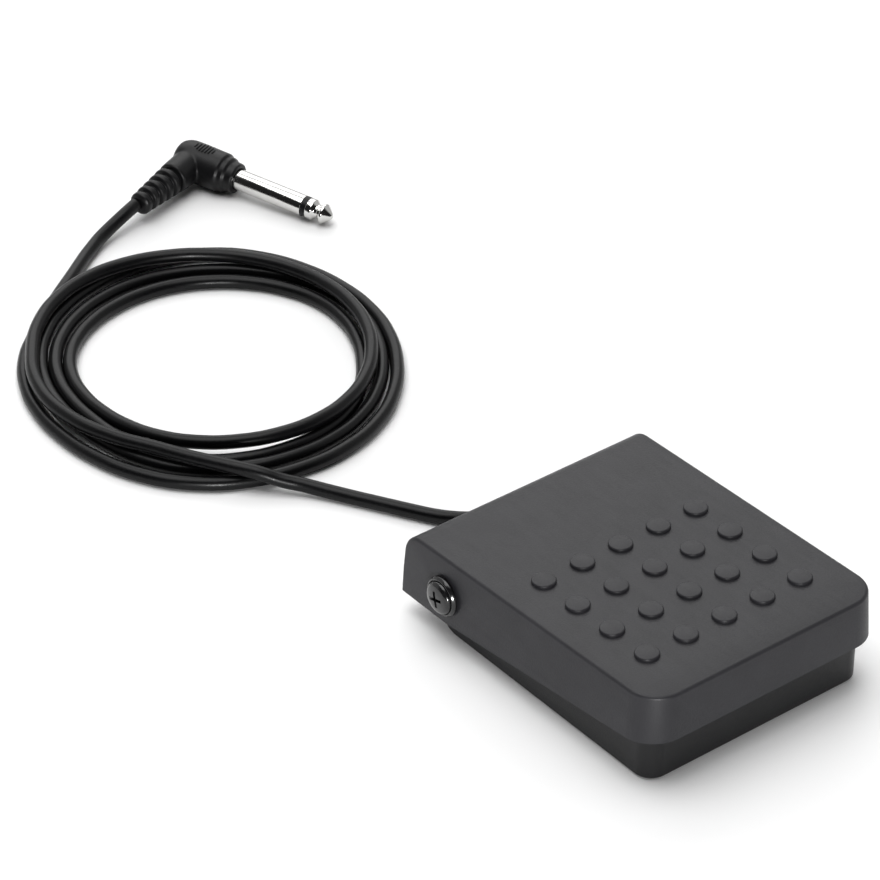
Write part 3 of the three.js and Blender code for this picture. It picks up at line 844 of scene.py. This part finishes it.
# ---------------------------------------------------------------- tray
@dataclass
class Tray:
    """The lower housing with its rubber mat."""

    half_width: float = 35.9 * MM
    front: float = -45.0 * MM
    rear: float = 36.9 * MM
    toe_radius: float = 5.2 * MM
    edge_radius: float = 0.8 * MM
    wall: float = 2.0 * MM
    bottom: float = 0.4 * MM
    floor: float = 3.5 * MM
    rim_front: float = 16.6 * MM
    rim_rear: float = 20.3 * MM
    rim_level_y: float = 25.0 * MM
    heel_round: float = 6.5 * MM
    mat_half_width: float = 33.0 * MM
    mat_front: float = -42.6 * MM
    mat_rear: float = 24.5 * MM
    mat_top: float = 1.2 * MM
    mat_grooves: int = 10
    groove_pitch: float = 6.0 * MM

    def form(self, inset: float, low: float, open_above: bool) -> bmesh.types.BMesh:
        """One closed form of the tray: its outside, or the hollow inside it.

        Args:
            inset: How far inside the outer skin it lies.
            low: Height of its underside.
            open_above: True for the hollow, which runs on above the rim.

        Returns:
            The closed mesh.
        """
        half_width = self.half_width - inset
        front = self.front + inset
        rear = self.rear - inset
        mesh = plan_block(half_width, front, rear, self.toe_radius - inset, 0.0, low, 0.04)
        heel = edges_where(mesh, lambda a, b: max(a.z, b.z) < low + 1e-6 and min(a.y, b.y) > rear - 2 * MM
                           and abs(a.x - b.x) > 0.03)
        bevel(mesh, heel, self.heel_round - inset, 10)
        if not open_above:
            slope = (self.rim_rear - self.rim_front) / (self.rim_level_y - self.front)
            trim(mesh, (0.0, self.front, self.rim_front), (0.0, -slope, 1.0), cap=True)
            trim(mesh, (0.0, 0.0, self.rim_rear), (0.0, 0.0, 1.0), cap=True)
        bevel(mesh, crisp_edges(mesh, lambda normal: normal.z > 0.5), self.edge_radius, 4)
        bmesh.ops.recalc_face_normals(mesh, faces=mesh.faces[:])
        return mesh

    def shell(self) -> bpy.types.Object:
        """Hollow the outside form.

        Returns:
            The shell, not yet dressed.
        """
        piece = new_piece("tray", self.form(0.0, self.bottom, open_above=False))
        combine(piece, self.form(self.wall, self.floor, open_above=True), "DIFFERENCE")
        return piece

    def fittings(self, piece: bpy.types.Object) -> None:
        """Join the bosses and seats inside, and cut the cord hole, the pivot holes and the mat's pocket.

        Args:
            piece: The tray's shell.
        """
        mesh = bmesh.new()
        for side in Side:
            turn = Matrix.Rotation(side.value * math.pi / 2, 4, "Y")
            pivot = Matrix.Translation((0.0, PIVOT_Y, PIVOT_Z)) @ turn
            rod(mesh, pivot, 4.5 * MM, 27 * MM, 34.2 * MM)
            rod(mesh, Matrix.Translation((side.value * 28 * MM, -38 * MM, 0.0)), 3 * MM, 2 * MM, 9.7 * MM)
            rod(mesh, Matrix.Translation((side.value * 7 * MM, 27.6 * MM, 0.0)), 2.4 * MM, 2 * MM, 4.2 * MM)
        rod(mesh, Matrix.Translation((0.0, -25 * MM, 0.0)), 7.5 * MM, 2 * MM, 4.7 * MM, 48)
        rod(mesh, Matrix.Translation((0.0, -25 * MM, 0.0)), 3.4 * MM, 2.2 * MM, 9 * MM)
        block(mesh, (8 * MM, 14 * MM, 2 * MM), (20 * MM, 22 * MM, 5 * MM))
        combine(piece, mesh, "UNION")
        mesh = bmesh.new()
        across = Matrix.Translation((0.0, PIVOT_Y, PIVOT_Z)) @ Matrix.Rotation(math.pi / 2, 4, "Y")
        rod(mesh, across, 1.65 * MM, -60 * MM, 60 * MM)
        along = Matrix.Translation((0.0, self.rear, CORD_Z)) @ Matrix.Rotation(math.pi / 2, 4, "X")
        rod(mesh, along, 2.5 * MM, -5 * MM, 5 * MM)
        for x, y in ((-7.0, 27.6), (7.0, 27.6), (10.8, 18.0), (17.2, 18.0)):
            rod(mesh, Matrix.Translation((x * MM, y * MM, 0.0)), 1.3 * MM, 2.6 * MM, 10 * MM)
        combine(piece, mesh, "DIFFERENCE")
        combine(piece, self.mat_block(0.3 * MM, -1 * MM, self.mat_top + 0.3 * MM), "DIFFERENCE")

    def mat_block(self, margin: float, low: float, high: float) -> bmesh.types.BMesh:
        """The mat's outline as a block.

        Args:
            margin: How far the outline is grown.
            low: Height of its underside.
            high: Height of its top.

        Returns:
            The closed mesh.
        """
        return plan_block(self.mat_half_width + margin, self.mat_front - margin, self.mat_rear + margin,
                          6.0 * MM, 2.0 * MM, low, high)

    def mat(self, shelf: FinishShelf) -> None:
        """Model the rubber mat with a row of shallow grooves across its underside.

        Args:
            shelf: The finishes.
        """
        mesh = self.mat_block(0.0, 0.0, self.mat_top)
        bevel(mesh, [e for e in mesh.edges if e.calc_face_angle(0.0) > math.radians(60.0)], 0.25 * MM, 3)
        piece = new_piece("mat", mesh)
        grooves = bmesh.new()
        for index in range(self.mat_grooves):
            y = self.mat_front + 6.5 * MM + index * self.groove_pitch
            block(grooves, (-28 * MM, y - 0.6 * MM, -1 * MM), (28 * MM, y + 0.6 * MM, 0.35 * MM))
        combine(piece, grooves, "DIFFERENCE")
        smoothed(piece)
        shelf.dress(piece, "rubber")
        seat(piece, Body.BASE, ["base_mat"])

    def build(self, shelf: FinishShelf) -> None:
        """Model and dress the tray and its mat.

        Args:
            shelf: The finishes.
        """
        piece = self.shell()
        self.fittings(piece)
        smoothed(piece)
        shelf.dress(piece, "tray_plastic")
        seat(piece, Body.BASE, ["base_tray"])
        self.mat(shelf)


# ---------------------------------------------------------------- pivot hardware
@dataclass
class Pivot:
    """The cross-head screw and cup washer on each side."""

    shank: float = 1.35
    thread_turns: int = 9
    thread_pitch: float = 0.9
    thread_depth: float = 0.28
    head_radius: float = 4.55
    head_x: float = 40.3
    head_height: float = 2.0
    washer_x: float = 39.5
    washer_radius: float = 5.6
    washer_bore: float = 1.7

    def place(self, side: Side) -> Matrix:
        """The pivot axis, pointing outwards on one side."""
        return Matrix.Translation((0.0, PIVOT_Y, PIVOT_Z)) @ Matrix.Rotation(side.value * math.pi / 2, 4, "Y")

    def screw(self, side: Side, shelf: FinishShelf) -> None:
        """Model one pan-head screw with its cross recess and thread.

        Args:
            side: The side it sits on.
            shelf: The finishes.
        """
        head = [(self.head_radius, self.head_x, 0.25), (self.head_radius, self.head_x + 0.8, 0.6),
                (self.head_radius * 0.84, self.head_x + 1.6, 0.8),
                (self.head_radius * 0.5, self.head_x + 1.95, 0.6),
                (0.0, self.head_x + self.head_height, 0.0)]
        thread = []
        root = self.shank - self.thread_depth
        for turn in range(self.thread_turns):
            x = 27.9 + turn * self.thread_pitch
            thread += [(root, x, 0.0), (self.shank, x + 0.4, 0.0), (root, x + 0.8, 0.0)]
        profile = [(0.0, 27.4, 0.0), (self.shank - 0.5, 27.4, 0.0), *thread, (self.shank, 36.4, 0.1),
                   (self.shank, self.head_x, 0.1), *head]
        piece = new_piece(f"pivot_screw_{side.name.lower()}", spun(rounded(profile), self.place(side), 64))
        floor = (self.head_x + 0.45) * MM
        crown = (self.head_x + self.head_height + 0.2) * MM
        for spin in (0.25, 0.25 + math.pi / 2):
            slot = bmesh.new()
            corners = block(slot, (-2.6 * MM, -0.46 * MM, floor), (2.6 * MM, 0.46 * MM, crown))
            low = [vertex for vertex in corners if vertex.co.z < floor + 1e-5]
            bmesh.ops.scale(slot, vec=(0.4, 0.75, 1.0), verts=low)
            bmesh.ops.transform(slot, matrix=self.place(side) @ Matrix.Rotation(spin, 4, "Z"), verts=corners)
            combine(piece, slot, "DIFFERENCE")
        smoothed(piece, 40.0)
        shelf.dress(piece, "black_steel")
        seat(piece, Body.BASE, [f"pivot_screw_{side.name.lower()}"])

    def washer(self, side: Side, shelf: FinishShelf) -> None:
        """Model one cup washer.

        Args:
            side: The side it sits on.
            shelf: The finishes.
        """
        x = self.washer_x
        bore = self.washer_bore
        profile = [(bore, x, 0.0), (self.washer_radius, x, 0.15), (self.washer_radius, x + 0.45, 0.3),
                   (5.1, x + 1.2, 0.25), (4.75, x + 1.2, 0.1), (4.72, x + 0.5, 0.1), (bore, x + 0.5, 0.0)]
        mesh = bmesh.new()
        ring = rounded([*profile, (bore, x, 0.0)])
        line = [mesh.verts.new((radius, 0.0, height)) for radius, height in ring[:-1]]
        edges = [mesh.edges.new(pair) for pair in zip(line, line[1:] + line[:1])]
        bmesh.ops.spin(
            mesh, geom=line + edges, cent=(0, 0, 0), axis=(0, 0, 1), angle=math.tau, steps=64, use_merge=True,
        )
        bmesh.ops.remove_doubles(mesh, verts=mesh.verts[:], dist=1e-7)
        bmesh.ops.recalc_face_normals(mesh, faces=mesh.faces[:])
        bmesh.ops.transform(mesh, matrix=self.place(side), verts=mesh.verts[:])
        piece = new_piece(f"pivot_washer_{side.name.lower()}", mesh)
        shelf.dress(piece, "black_steel")
        seat(piece, Body.BASE, [f"pivot_washer_{side.name.lower()}"])

    def build(self, shelf: FinishShelf) -> None:
        """Model both sides.

        Args:
            shelf: The finishes.
        """
        for side in Side:
            self.screw(side, shelf)
            self.washer(side, shelf)


# ---------------------------------------------------------------- cord and gland
LEAD_ROUTE: tuple[Point, ...] = (
    (0.0, 53.3, 6.0), (-0.6, 57.5, 5.5), (-2.6, 62.5, 4.2), (-5.6, 67.6, 2.8), (-8.6, 72.2, 2.2),
    (-12.2, 78.0, 2.1), (-16.4, 85.0, 2.1), (-20.8, 92.4, 2.1), (-24.4, 98.2, 2.3), (-29.0, 104.6, 3.0),
    (-32.4, 108.0, 3.8),
)
TAIL_ROUTE: tuple[Point, ...] = (
    (-13.4, 230.0, 2.1), (-9.6, 232.6, 2.1), (-5.8, 234.9, 2.2), (-1.8, 237.0, 2.6), (2.3, 238.4, 3.4),
    (6.4, 239.4, 4.4), (10.4, 240.2, 5.5), (14.6, 241.4, 6.1),
)
CLIMB_ROUTE: tuple[Point, ...] = (
    (-37.6, 113.4, 5.8), (-42.8, 120.6, 6.4), (-48.0, 129.4, 6.3), (-52.7, 138.6, 6.2), (-58.6, 150.0, 6.1),
    (-62.4, 163.9, 6.1), (-61.0, 181.0, 6.1),
)
LEAVE_ROUTE: tuple[Point, ...] = (
    (-45.8, 206.6, 2.1), (-37.0, 213.6, 2.1), (-26.8, 220.9, 2.1), (-19.8, 225.6, 2.1),
)


@dataclass
class Cord:
    """The captive cord: a lead, a loose coil of four turns laid on the floor, and a tail to the plug."""

    radius: float = 2.0 * MM
    length: float = 1.43
    coil_x: float = -14.0
    coil_y: float = 169.0
    first_angle: float = 141.0
    stations: int = 8
    steps_per_station: int = 3
    turn_radii: tuple[tuple[float, ...], ...] = (
        (47.5, 49.2, 48.0, 47.2, 46.6, 46.8, 42.8, 37.5),
        (37.2, 37.5, 40.2, 43.9, 44.2, 47.8, 47.9, 41.4),
        (41.3, 43.0, 46.0, 49.4, 49.5, 51.9, 52.0, 45.6),
        (45.4, 49.2, 54.6, 53.4, 53.7, 57.6, 58.2, 52.2),
    )
    last_radius: float = 49.7
    top_heights: tuple[float, ...] = (6.1, 6.1, 6.1, 6.1, 6.1, 6.0, 4.6, 2.7)
    floor_height: float = 2.05

    def coil_points(self) -> list[Point]:
        """Work out the coil's points, clockwise from above, in millimetres.

        Returns:
            The points, from the end of the climb to the start of the tail.
        """
        radii = [radius for turn in self.turn_radii for radius in turn] + [self.last_radius]
        heights = list(self.top_heights) + [self.floor_height] * (len(radii) - len(self.top_heights))
        points: list[Point] = []
        last = len(radii) - 1
        for index in range(last):
            for step in range(self.steps_per_station):
                t = step / self.steps_per_station
                radius = self.eased(radii, index, t)
                height = max(self.eased(heights, index, t), self.floor_height)
                angle = math.radians(self.first_angle - (index + t) * 360.0 / self.stations)
                points.append(self.coil_point(radius, angle, height))
        angle = math.radians(self.first_angle - last * 360.0 / self.stations)
        points.append(self.coil_point(radii[-1], angle, self.floor_height))
        return points

    def coil_point(self, radius: float, angle: float, height: float) -> Point:
        """Point at a radius and angle round the coil's middle."""
        return (self.coil_x + radius * math.cos(angle), self.coil_y + radius * math.sin(angle), height)

    @staticmethod
    def eased(values: Sequence[float], index: int, t: float) -> float:
        """Value between two stations on a smooth curve through all of them.

        Args:
            values: The value at every station.
            index: The station before.
            t: Share of the way to the next station.

        Returns:
            The eased value.
        """
        before = values[max(index - 1, 0)]
        start = values[index]
        end = values[index + 1]
        after = values[min(index + 2, len(values) - 1)]
        slope_in = (end - before) / 2
        slope_out = (after - start) / 2
        return ((2 * t ** 3 - 3 * t ** 2 + 1) * start + (t ** 3 - 2 * t ** 2 + t) * slope_in
                + (3 * t ** 2 - 2 * t ** 3) * end + (t ** 3 - t ** 2) * slope_out)

    def build(self) -> bpy.types.Object:
        """Lay the cord as one smooth curve.

        The thickness is held as each point's radius, so that the curve's bounds stay its real size.

        Returns:
            The curve object, not yet dressed.
        """
        route = [*LEAD_ROUTE, *CLIMB_ROUTE, *self.coil_points(), *LEAVE_ROUTE, *TAIL_ROUTE]
        data = bpy.data.curves.new("cord", "CURVE")
        data.dimensions = "3D"
        data.bevel_depth = 1.0
        data.bevel_resolution = 5
        data.resolution_u = 6
        data.use_fill_caps = True
        spline = data.splines.new("BEZIER")
        spline.bezier_points.add(len(route) - 1)
        for point, place in zip(spline.bezier_points, route):
            point.co = Vector(place) * MM
            point.radius = self.radius
            point.handle_left_type = "AUTO"
            point.handle_right_type = "AUTO"
        piece = bpy.data.objects.new("cord", data)
        bpy.context.scene.collection.objects.link(piece)
        seat(piece, Body.BASE, ["cord_lead", "cord_coil", "cord_tail"])
        return piece


@dataclass
class Gland:
    """The ribbed strain relief where the cord leaves the tray."""

    start: float = 37.2
    end: float = 53.0
    root: float = 3.3
    tip: float = 2.55
    ribs: int = 6

    def build(self, shelf: FinishShelf) -> None:
        """Model the strain relief along +Y.

        Args:
            shelf: The finishes.
        """
        profile = [(0.0, 32.8, 0.0), (2.2, 32.8, 0.2), (2.2, self.start, 0.0), (3.6, self.start, 0.25),
                   (3.6, self.start + 1.4, 0.35)]
        run = self.end - self.start - 1.6
        for index in range(self.ribs):
            near = self.start + 1.6 + run * index / self.ribs
            radius = self.root + (self.tip - self.root) * index / self.ribs
            pitch = run / self.ribs
            profile += [(radius - 0.55, near, 0.12), (radius - 0.55, near + pitch * 0.3, 0.15),
                        (radius, near + pitch * 0.38, 0.25), (radius, near + pitch * 0.97, 0.25)]
        profile += [(self.tip, self.end, 0.3), (0.0, self.end, 0.0)]
        place = Matrix.Translation((0.0, 0.0, CORD_Z)) @ Matrix.Rotation(-math.pi / 2, 4, "X")
        piece = new_piece("strain_relief", spun(rounded(profile, 3), place, 48))
        shelf.dress(piece, "boot_vinyl")
        seat(piece, Body.BASE, ["cord_gland"])


# ---------------------------------------------------------------- plug
@dataclass
class Plug:
    """The right-angle two-pole jack plug with its moulded boot."""

    x: float = 41.6
    y: float = 252.3
    z: float = 6.2
    heading: float = -70.2
    droop: float = 3.4
    sleeve_radius: float = 3.175
    seat_z: float = 16.9
    arm_axis: float = 2.0
    arm_ribs_count: int = 5
    grip_ridges: int = 7
    grip_crown: float = 6.03

    def place(self) -> Matrix:
        """The plug's own frame.

        Returns:
            The placement; local Z runs along the plug and local -Y along the cable arm.
        """
        return (Matrix.Translation(Vector((self.x, self.y, self.z)) * MM)
                @ Matrix.Rotation(math.radians(self.heading), 4, "Z")
                @ Matrix.Rotation(math.radians(90.0 + self.droop), 4, "Y"))

    def arm_place(self) -> Matrix:
        """The cable arm's own frame: local Z runs along the arm."""
        along = Matrix.Translation((0.0, 0.0, self.arm_axis * MM))
        return self.place() @ along @ Matrix.Rotation(math.pi / 2, 4, "X")

    def boot(self, shelf: FinishShelf) -> bpy.types.Object:
        """Model the boot's rounded barrel and the plain root of its cable arm.

        Args:
            shelf: The finishes.

        Returns:
            The boot.
        """
        barrel = rounded([
            (0.0, -3.4, 0.0), (4.6, -3.3, 1.8), (6.05, -0.4, 2.0), (6.1, 4.0, 1.0), (6.05, 12.7, 0.4),
            (5.45, 12.9, 0.15), (5.4, 14.7, 0.35), (4.75, 14.9, 0.15), (4.6, 17.6, 0.4), (0.0, 17.7, 0.0),
        ])
        piece = new_piece("plug_boot_piece", spun(barrel, self.place(), 64))
        arm = rounded([
            (0.0, -1.0, 0.0), (5.15, -0.8, 0.5), (5.1, 3.0, 0.5), (4.75, 11.9, 0.7), (0.0, 12.1, 0.0),
        ])
        combine(piece, spun(arm, self.arm_place(), 56), "UNION")
        rounding = piece.modifiers.new("skin", "REMESH")
        rounding.mode = "VOXEL"
        rounding.voxel_size = 0.3 * MM
        soften = piece.modifiers.new("soften", "SMOOTH")
        soften.factor = 0.6
        soften.iterations = 8
        baked(piece)
        bore = bmesh.new()
        rod(bore, self.place(), (self.sleeve_radius + 0.25) * MM, 11 * MM, 20 * MM, 48)
        combine(piece, bore, "DIFFERENCE")
        smoothed(piece, 50.0)
        shelf.dress(piece, "boot_vinyl")
        return seat(piece, Body.BASE, ["plug_boot"])

    def arm_ribs(self, shelf: FinishShelf) -> bpy.types.Object:
        """Model the flexible ribbed end of the cable arm.

        Args:
            shelf: The finishes.

        Returns:
            The ribbed piece.
        """
        profile = [(0.0, 11.2, 0.0), (3.4, 11.2, 0.0)]
        for index in range(self.arm_ribs_count):
            near = 12.2 + index * 3.25
            radius = 4.5 - index * 0.26
            profile += [(radius - 0.95, near, 0.2), (radius - 0.95, near + 1.05, 0.2),
                        (radius, near + 1.35, 0.4), (radius - 0.05, near + 2.9, 0.4)]
        profile += [(2.7, 28.6, 0.3), (2.3, 28.8, 0.2), (0.0, 28.8, 0.0)]
        piece = new_piece("cable_arm_ribs", spun(rounded(profile, 3), self.arm_place(), 48))
        shelf.dress(piece, "boot_vinyl")
        return seat(piece, Body.BASE)

    def grip_patch(self, shelf: FinishShelf) -> bpy.types.Object:
        """Model an oval field of small ridges on the boot's upper face.

        Args:
            shelf: The finishes.

        Returns:
            The ridges, as one piece.
        """
        mesh = bmesh.new()
        place = self.place() @ Matrix.Rotation(-math.pi / 2, 4, "Y")
        for index in range(self.grip_ridges):
            offset = -3.0 + index
            half = 2.2 * math.sqrt(max(1.0 - (offset / 3.6) ** 2, 0.1))
            along = 5.6 + offset
            made = bmesh.ops.create_icosphere(mesh, subdivisions=3, radius=0.5)["verts"]
            bmesh.ops.scale(mesh, vec=(0.7 * MM, 2 * half * MM, 0.7 * MM), verts=made)
            step = Matrix.Translation((along * MM, 0.0, self.grip_crown * MM))
            bmesh.ops.transform(mesh, matrix=step, verts=made)
        bmesh.ops.transform(mesh, matrix=place, verts=mesh.verts[:])
        piece = new_piece("boot_grip", mesh)
        shelf.dress(piece, "boot_vinyl")
        return seat(piece, Body.BASE)

    def contacts(self, shelf: FinishShelf) -> list[bpy.types.Object]:
        """Model the sleeve, the insulator and the tip.

        Args:
            shelf: The finishes.

        Returns:
            The three pieces.
        """
        r = self.sleeve_radius
        s = self.seat_z
        outlines = {
            "plug_sleeve_piece": ("nickel", "plug_sleeve", [
                (0.0, 11.4, 0.0), (r, 11.4, 0.3), (r, s + 24.0, 0.12), (1.6, s + 24.0, 0.0),
                (1.6, s + 12.0, 0.0), (0.0, s + 12.0, 0.0)]),
            "plug_tip_piece": ("nickel", "plug_tip", [
                (0.0, s + 13.0, 0.0), (1.0, s + 13.0, 0.0), (1.0, s + 25.75, 0.0), (r, s + 25.75, 0.12),
                (r, s + 27.5, 0.3), (2.2, s + 28.4, 0.5), (2.1, s + 29.3, 0.5), (r - 0.1, s + 30.6, 0.4),
                (r - 0.15, s + 31.2, 0.3), (0.8, s + 33.5, 0.5), (0.0, s + 33.8, 0.0)]),
        }
        made = []
        for name, (slot, node, profile) in outlines.items():
            piece = new_piece(name, spun(rounded(profile), self.place(), 72))
            shelf.dress(piece, slot)
            made.append(seat(piece, Body.BASE, [node]))
        band = bmesh.new()
        rod(band, self.place(), (r - 0.05) * MM, (s + 24.1) * MM, (s + 25.65) * MM, 72)
        piece = new_piece("plug_band", band)
        hole = bmesh.new()
        rod(hole, self.place(), 1.3 * MM, (s + 20) * MM, (s + 30) * MM, 40)
        combine(piece, hole, "DIFFERENCE")
        smoothed(piece)
        shelf.dress(piece, "boot_vinyl")
        made.append(seat(piece, Body.BASE, ["plug_insulator"]))
        return made

    def build(self, shelf: FinishShelf) -> list[bpy.types.Object]:
        """Model the whole plug.

        Args:
            shelf: The finishes.

        Returns:
            Its pieces.
        """
        return [self.boot(shelf), self.arm_ribs(shelf), self.grip_patch(shelf), *self.contacts(shelf)]


# ---------------------------------------------------------------- carried-over nodes
def dress_carried_nodes(frame: dict, shelf: FinishShelf) -> None:
    """Give every CAD node that still shows its finish.

    Args:
        shelf: The finishes.
    """
    slots = {row["node"]: row["material_slot"] for row in frame["record"]["subparts"]}
    for name, node in sorted(frame["nodes"].items()):
        if node.hide_render:
            continue
        shelf.dress(node, slots[name])
        log.info("%s keeps its CAD shape, finish %s", name, slots[name])


# ---------------------------------------------------------------- studio
@dataclass
class Studio:
    """Camera, floor and soft light."""

    eye: Point = (-618.6, -673.4, 706.4)
    forward: Point = (0.5178, 0.6322, -0.5764)
    up: Point = (0.3512, 0.4573, 0.8170)
    lens: float = 184.09
    floor_size: float = 6.0
    dark_side: Point = (-0.58, -0.70, 0.42)

    def camera(self) -> None:
        """Set the camera."""
        data = bpy.data.cameras.new("camera")
        data.lens = self.lens
        data.sensor_width = 36.0
        data.clip_end = 20.0
        camera = bpy.data.objects.new("camera", data)
        bpy.context.scene.collection.objects.link(camera)
        forward = Vector(self.forward).normalized()
        right = forward.cross(Vector(self.up)).normalized()
        upright = right.cross(forward)
        turn = Matrix((right, upright, -forward)).transposed().to_4x4()
        camera.matrix_world = Matrix.Translation(Vector(self.eye) * MM) @ turn
        bpy.context.scene.camera = camera

    def floor(self) -> None:
        """Lay a plain pale floor."""
        mesh = bmesh.new()
        bmesh.ops.create_grid(mesh, x_segments=1, y_segments=1, size=self.floor_size / 2)
        piece = new_piece("floor", mesh)
        sheet = NodeSheet("studio_floor")
        sheet.shader.inputs["Specular IOR Level"].default_value = 0.1
        sheet.shader.inputs["Roughness"].default_value = 0.9
        sheet.tint(sheet.noise(sheet.place(), 3.0), (0.93, 0.93, 0.93), (0.95, 0.95, 0.95))
        piece.data.materials.append(sheet.material)

    def light(self, name: str, place: Point, target: Point, size: tuple[float, float],
              power: float) -> None:
        """Hang one soft box that faces a point, in metres.

        Args:
            name: The lamp's name.
            place: Where it hangs.
            target: The point it faces.
            size: Its width and height.
            power: Its power in watts.
        """
        data = bpy.data.lights.new(name, "AREA")
        data.shape = "RECTANGLE"
        data.size, data.size_y = size
        data.energy = power
        lamp = bpy.data.objects.new(name, data)
        bpy.context.scene.collection.objects.link(lamp)
        lamp.location = place
        lamp.rotation_euler = (Vector(target) - Vector(place)).to_track_quat("-Z", "Y").to_euler()

    def surround(self, tree: bpy.types.NodeTree) -> None:
        """Pale room that is dark on one side.

        Args:
            tree: The world's node tree.
        """
        coordinates = tree.nodes.new("ShaderNodeTexCoord")
        facing = tree.nodes.new("ShaderNodeVectorMath")
        facing.operation = "DOT_PRODUCT"
        facing.inputs[1].default_value = self.dark_side
        ramp = tree.nodes.new("ShaderNodeValToRGB")
        ramp.color_ramp.elements[0].position = 0.2
        ramp.color_ramp.elements[0].color = (1.0, 1.0, 1.0, 1.0)
        ramp.color_ramp.elements[1].position = 0.5
        ramp.color_ramp.elements[1].color = (0.03, 0.03, 0.03, 1.0)
        background = tree.nodes["Background"]
        background.inputs["Strength"].default_value = 0.6
        tree.links.new(coordinates.outputs["Generated"], facing.inputs[0])
        tree.links.new(facing.outputs["Value"], ramp.inputs["Fac"])
        tree.links.new(ramp.outputs["Color"], background.inputs["Color"])

    def build(self) -> None:
        """Lay the floor and hang the lights."""
        self.floor()
        bpy.context.scene.view_settings.view_transform = "Standard"
        world = bpy.data.worlds.new("studio")
        bpy.context.scene.world = world
        world.use_nodes = True
        self.surround(world.node_tree)
        self.light("back_box", (0.7, 1.3, 1.1), (0.0, 0.05, 0.0), (1.6, 1.2), 11.5)
        self.light("top_box", (-0.2, 0.2, 1.5), (0.0, 0.05, 0.0), (1.3, 1.3), 18.0)
        self.light("corner_box", (-0.75, -0.95, 0.14), (0.0, -0.04, 0.01), (0.16, 0.22), 14.0)


# ---------------------------------------------------------------- assembly
def main() -> None:
    """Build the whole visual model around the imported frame."""
    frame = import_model()
    studio = Studio()
    studio.camera()
    cord = Cord()
    flex = cord.build()
    shelf = FinishShelf()
    shelf.dress(flex, "cord_vinyl")
    Tread().build(shelf)
    Tray().build(shelf)
    Pivot().build(shelf)
    Gland().build(shelf)
    on_cord = Plug().build(shelf)
    dress_carried_nodes(frame, shelf)
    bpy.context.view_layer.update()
    studio.build()


if __name__ == "__main__":
    main()
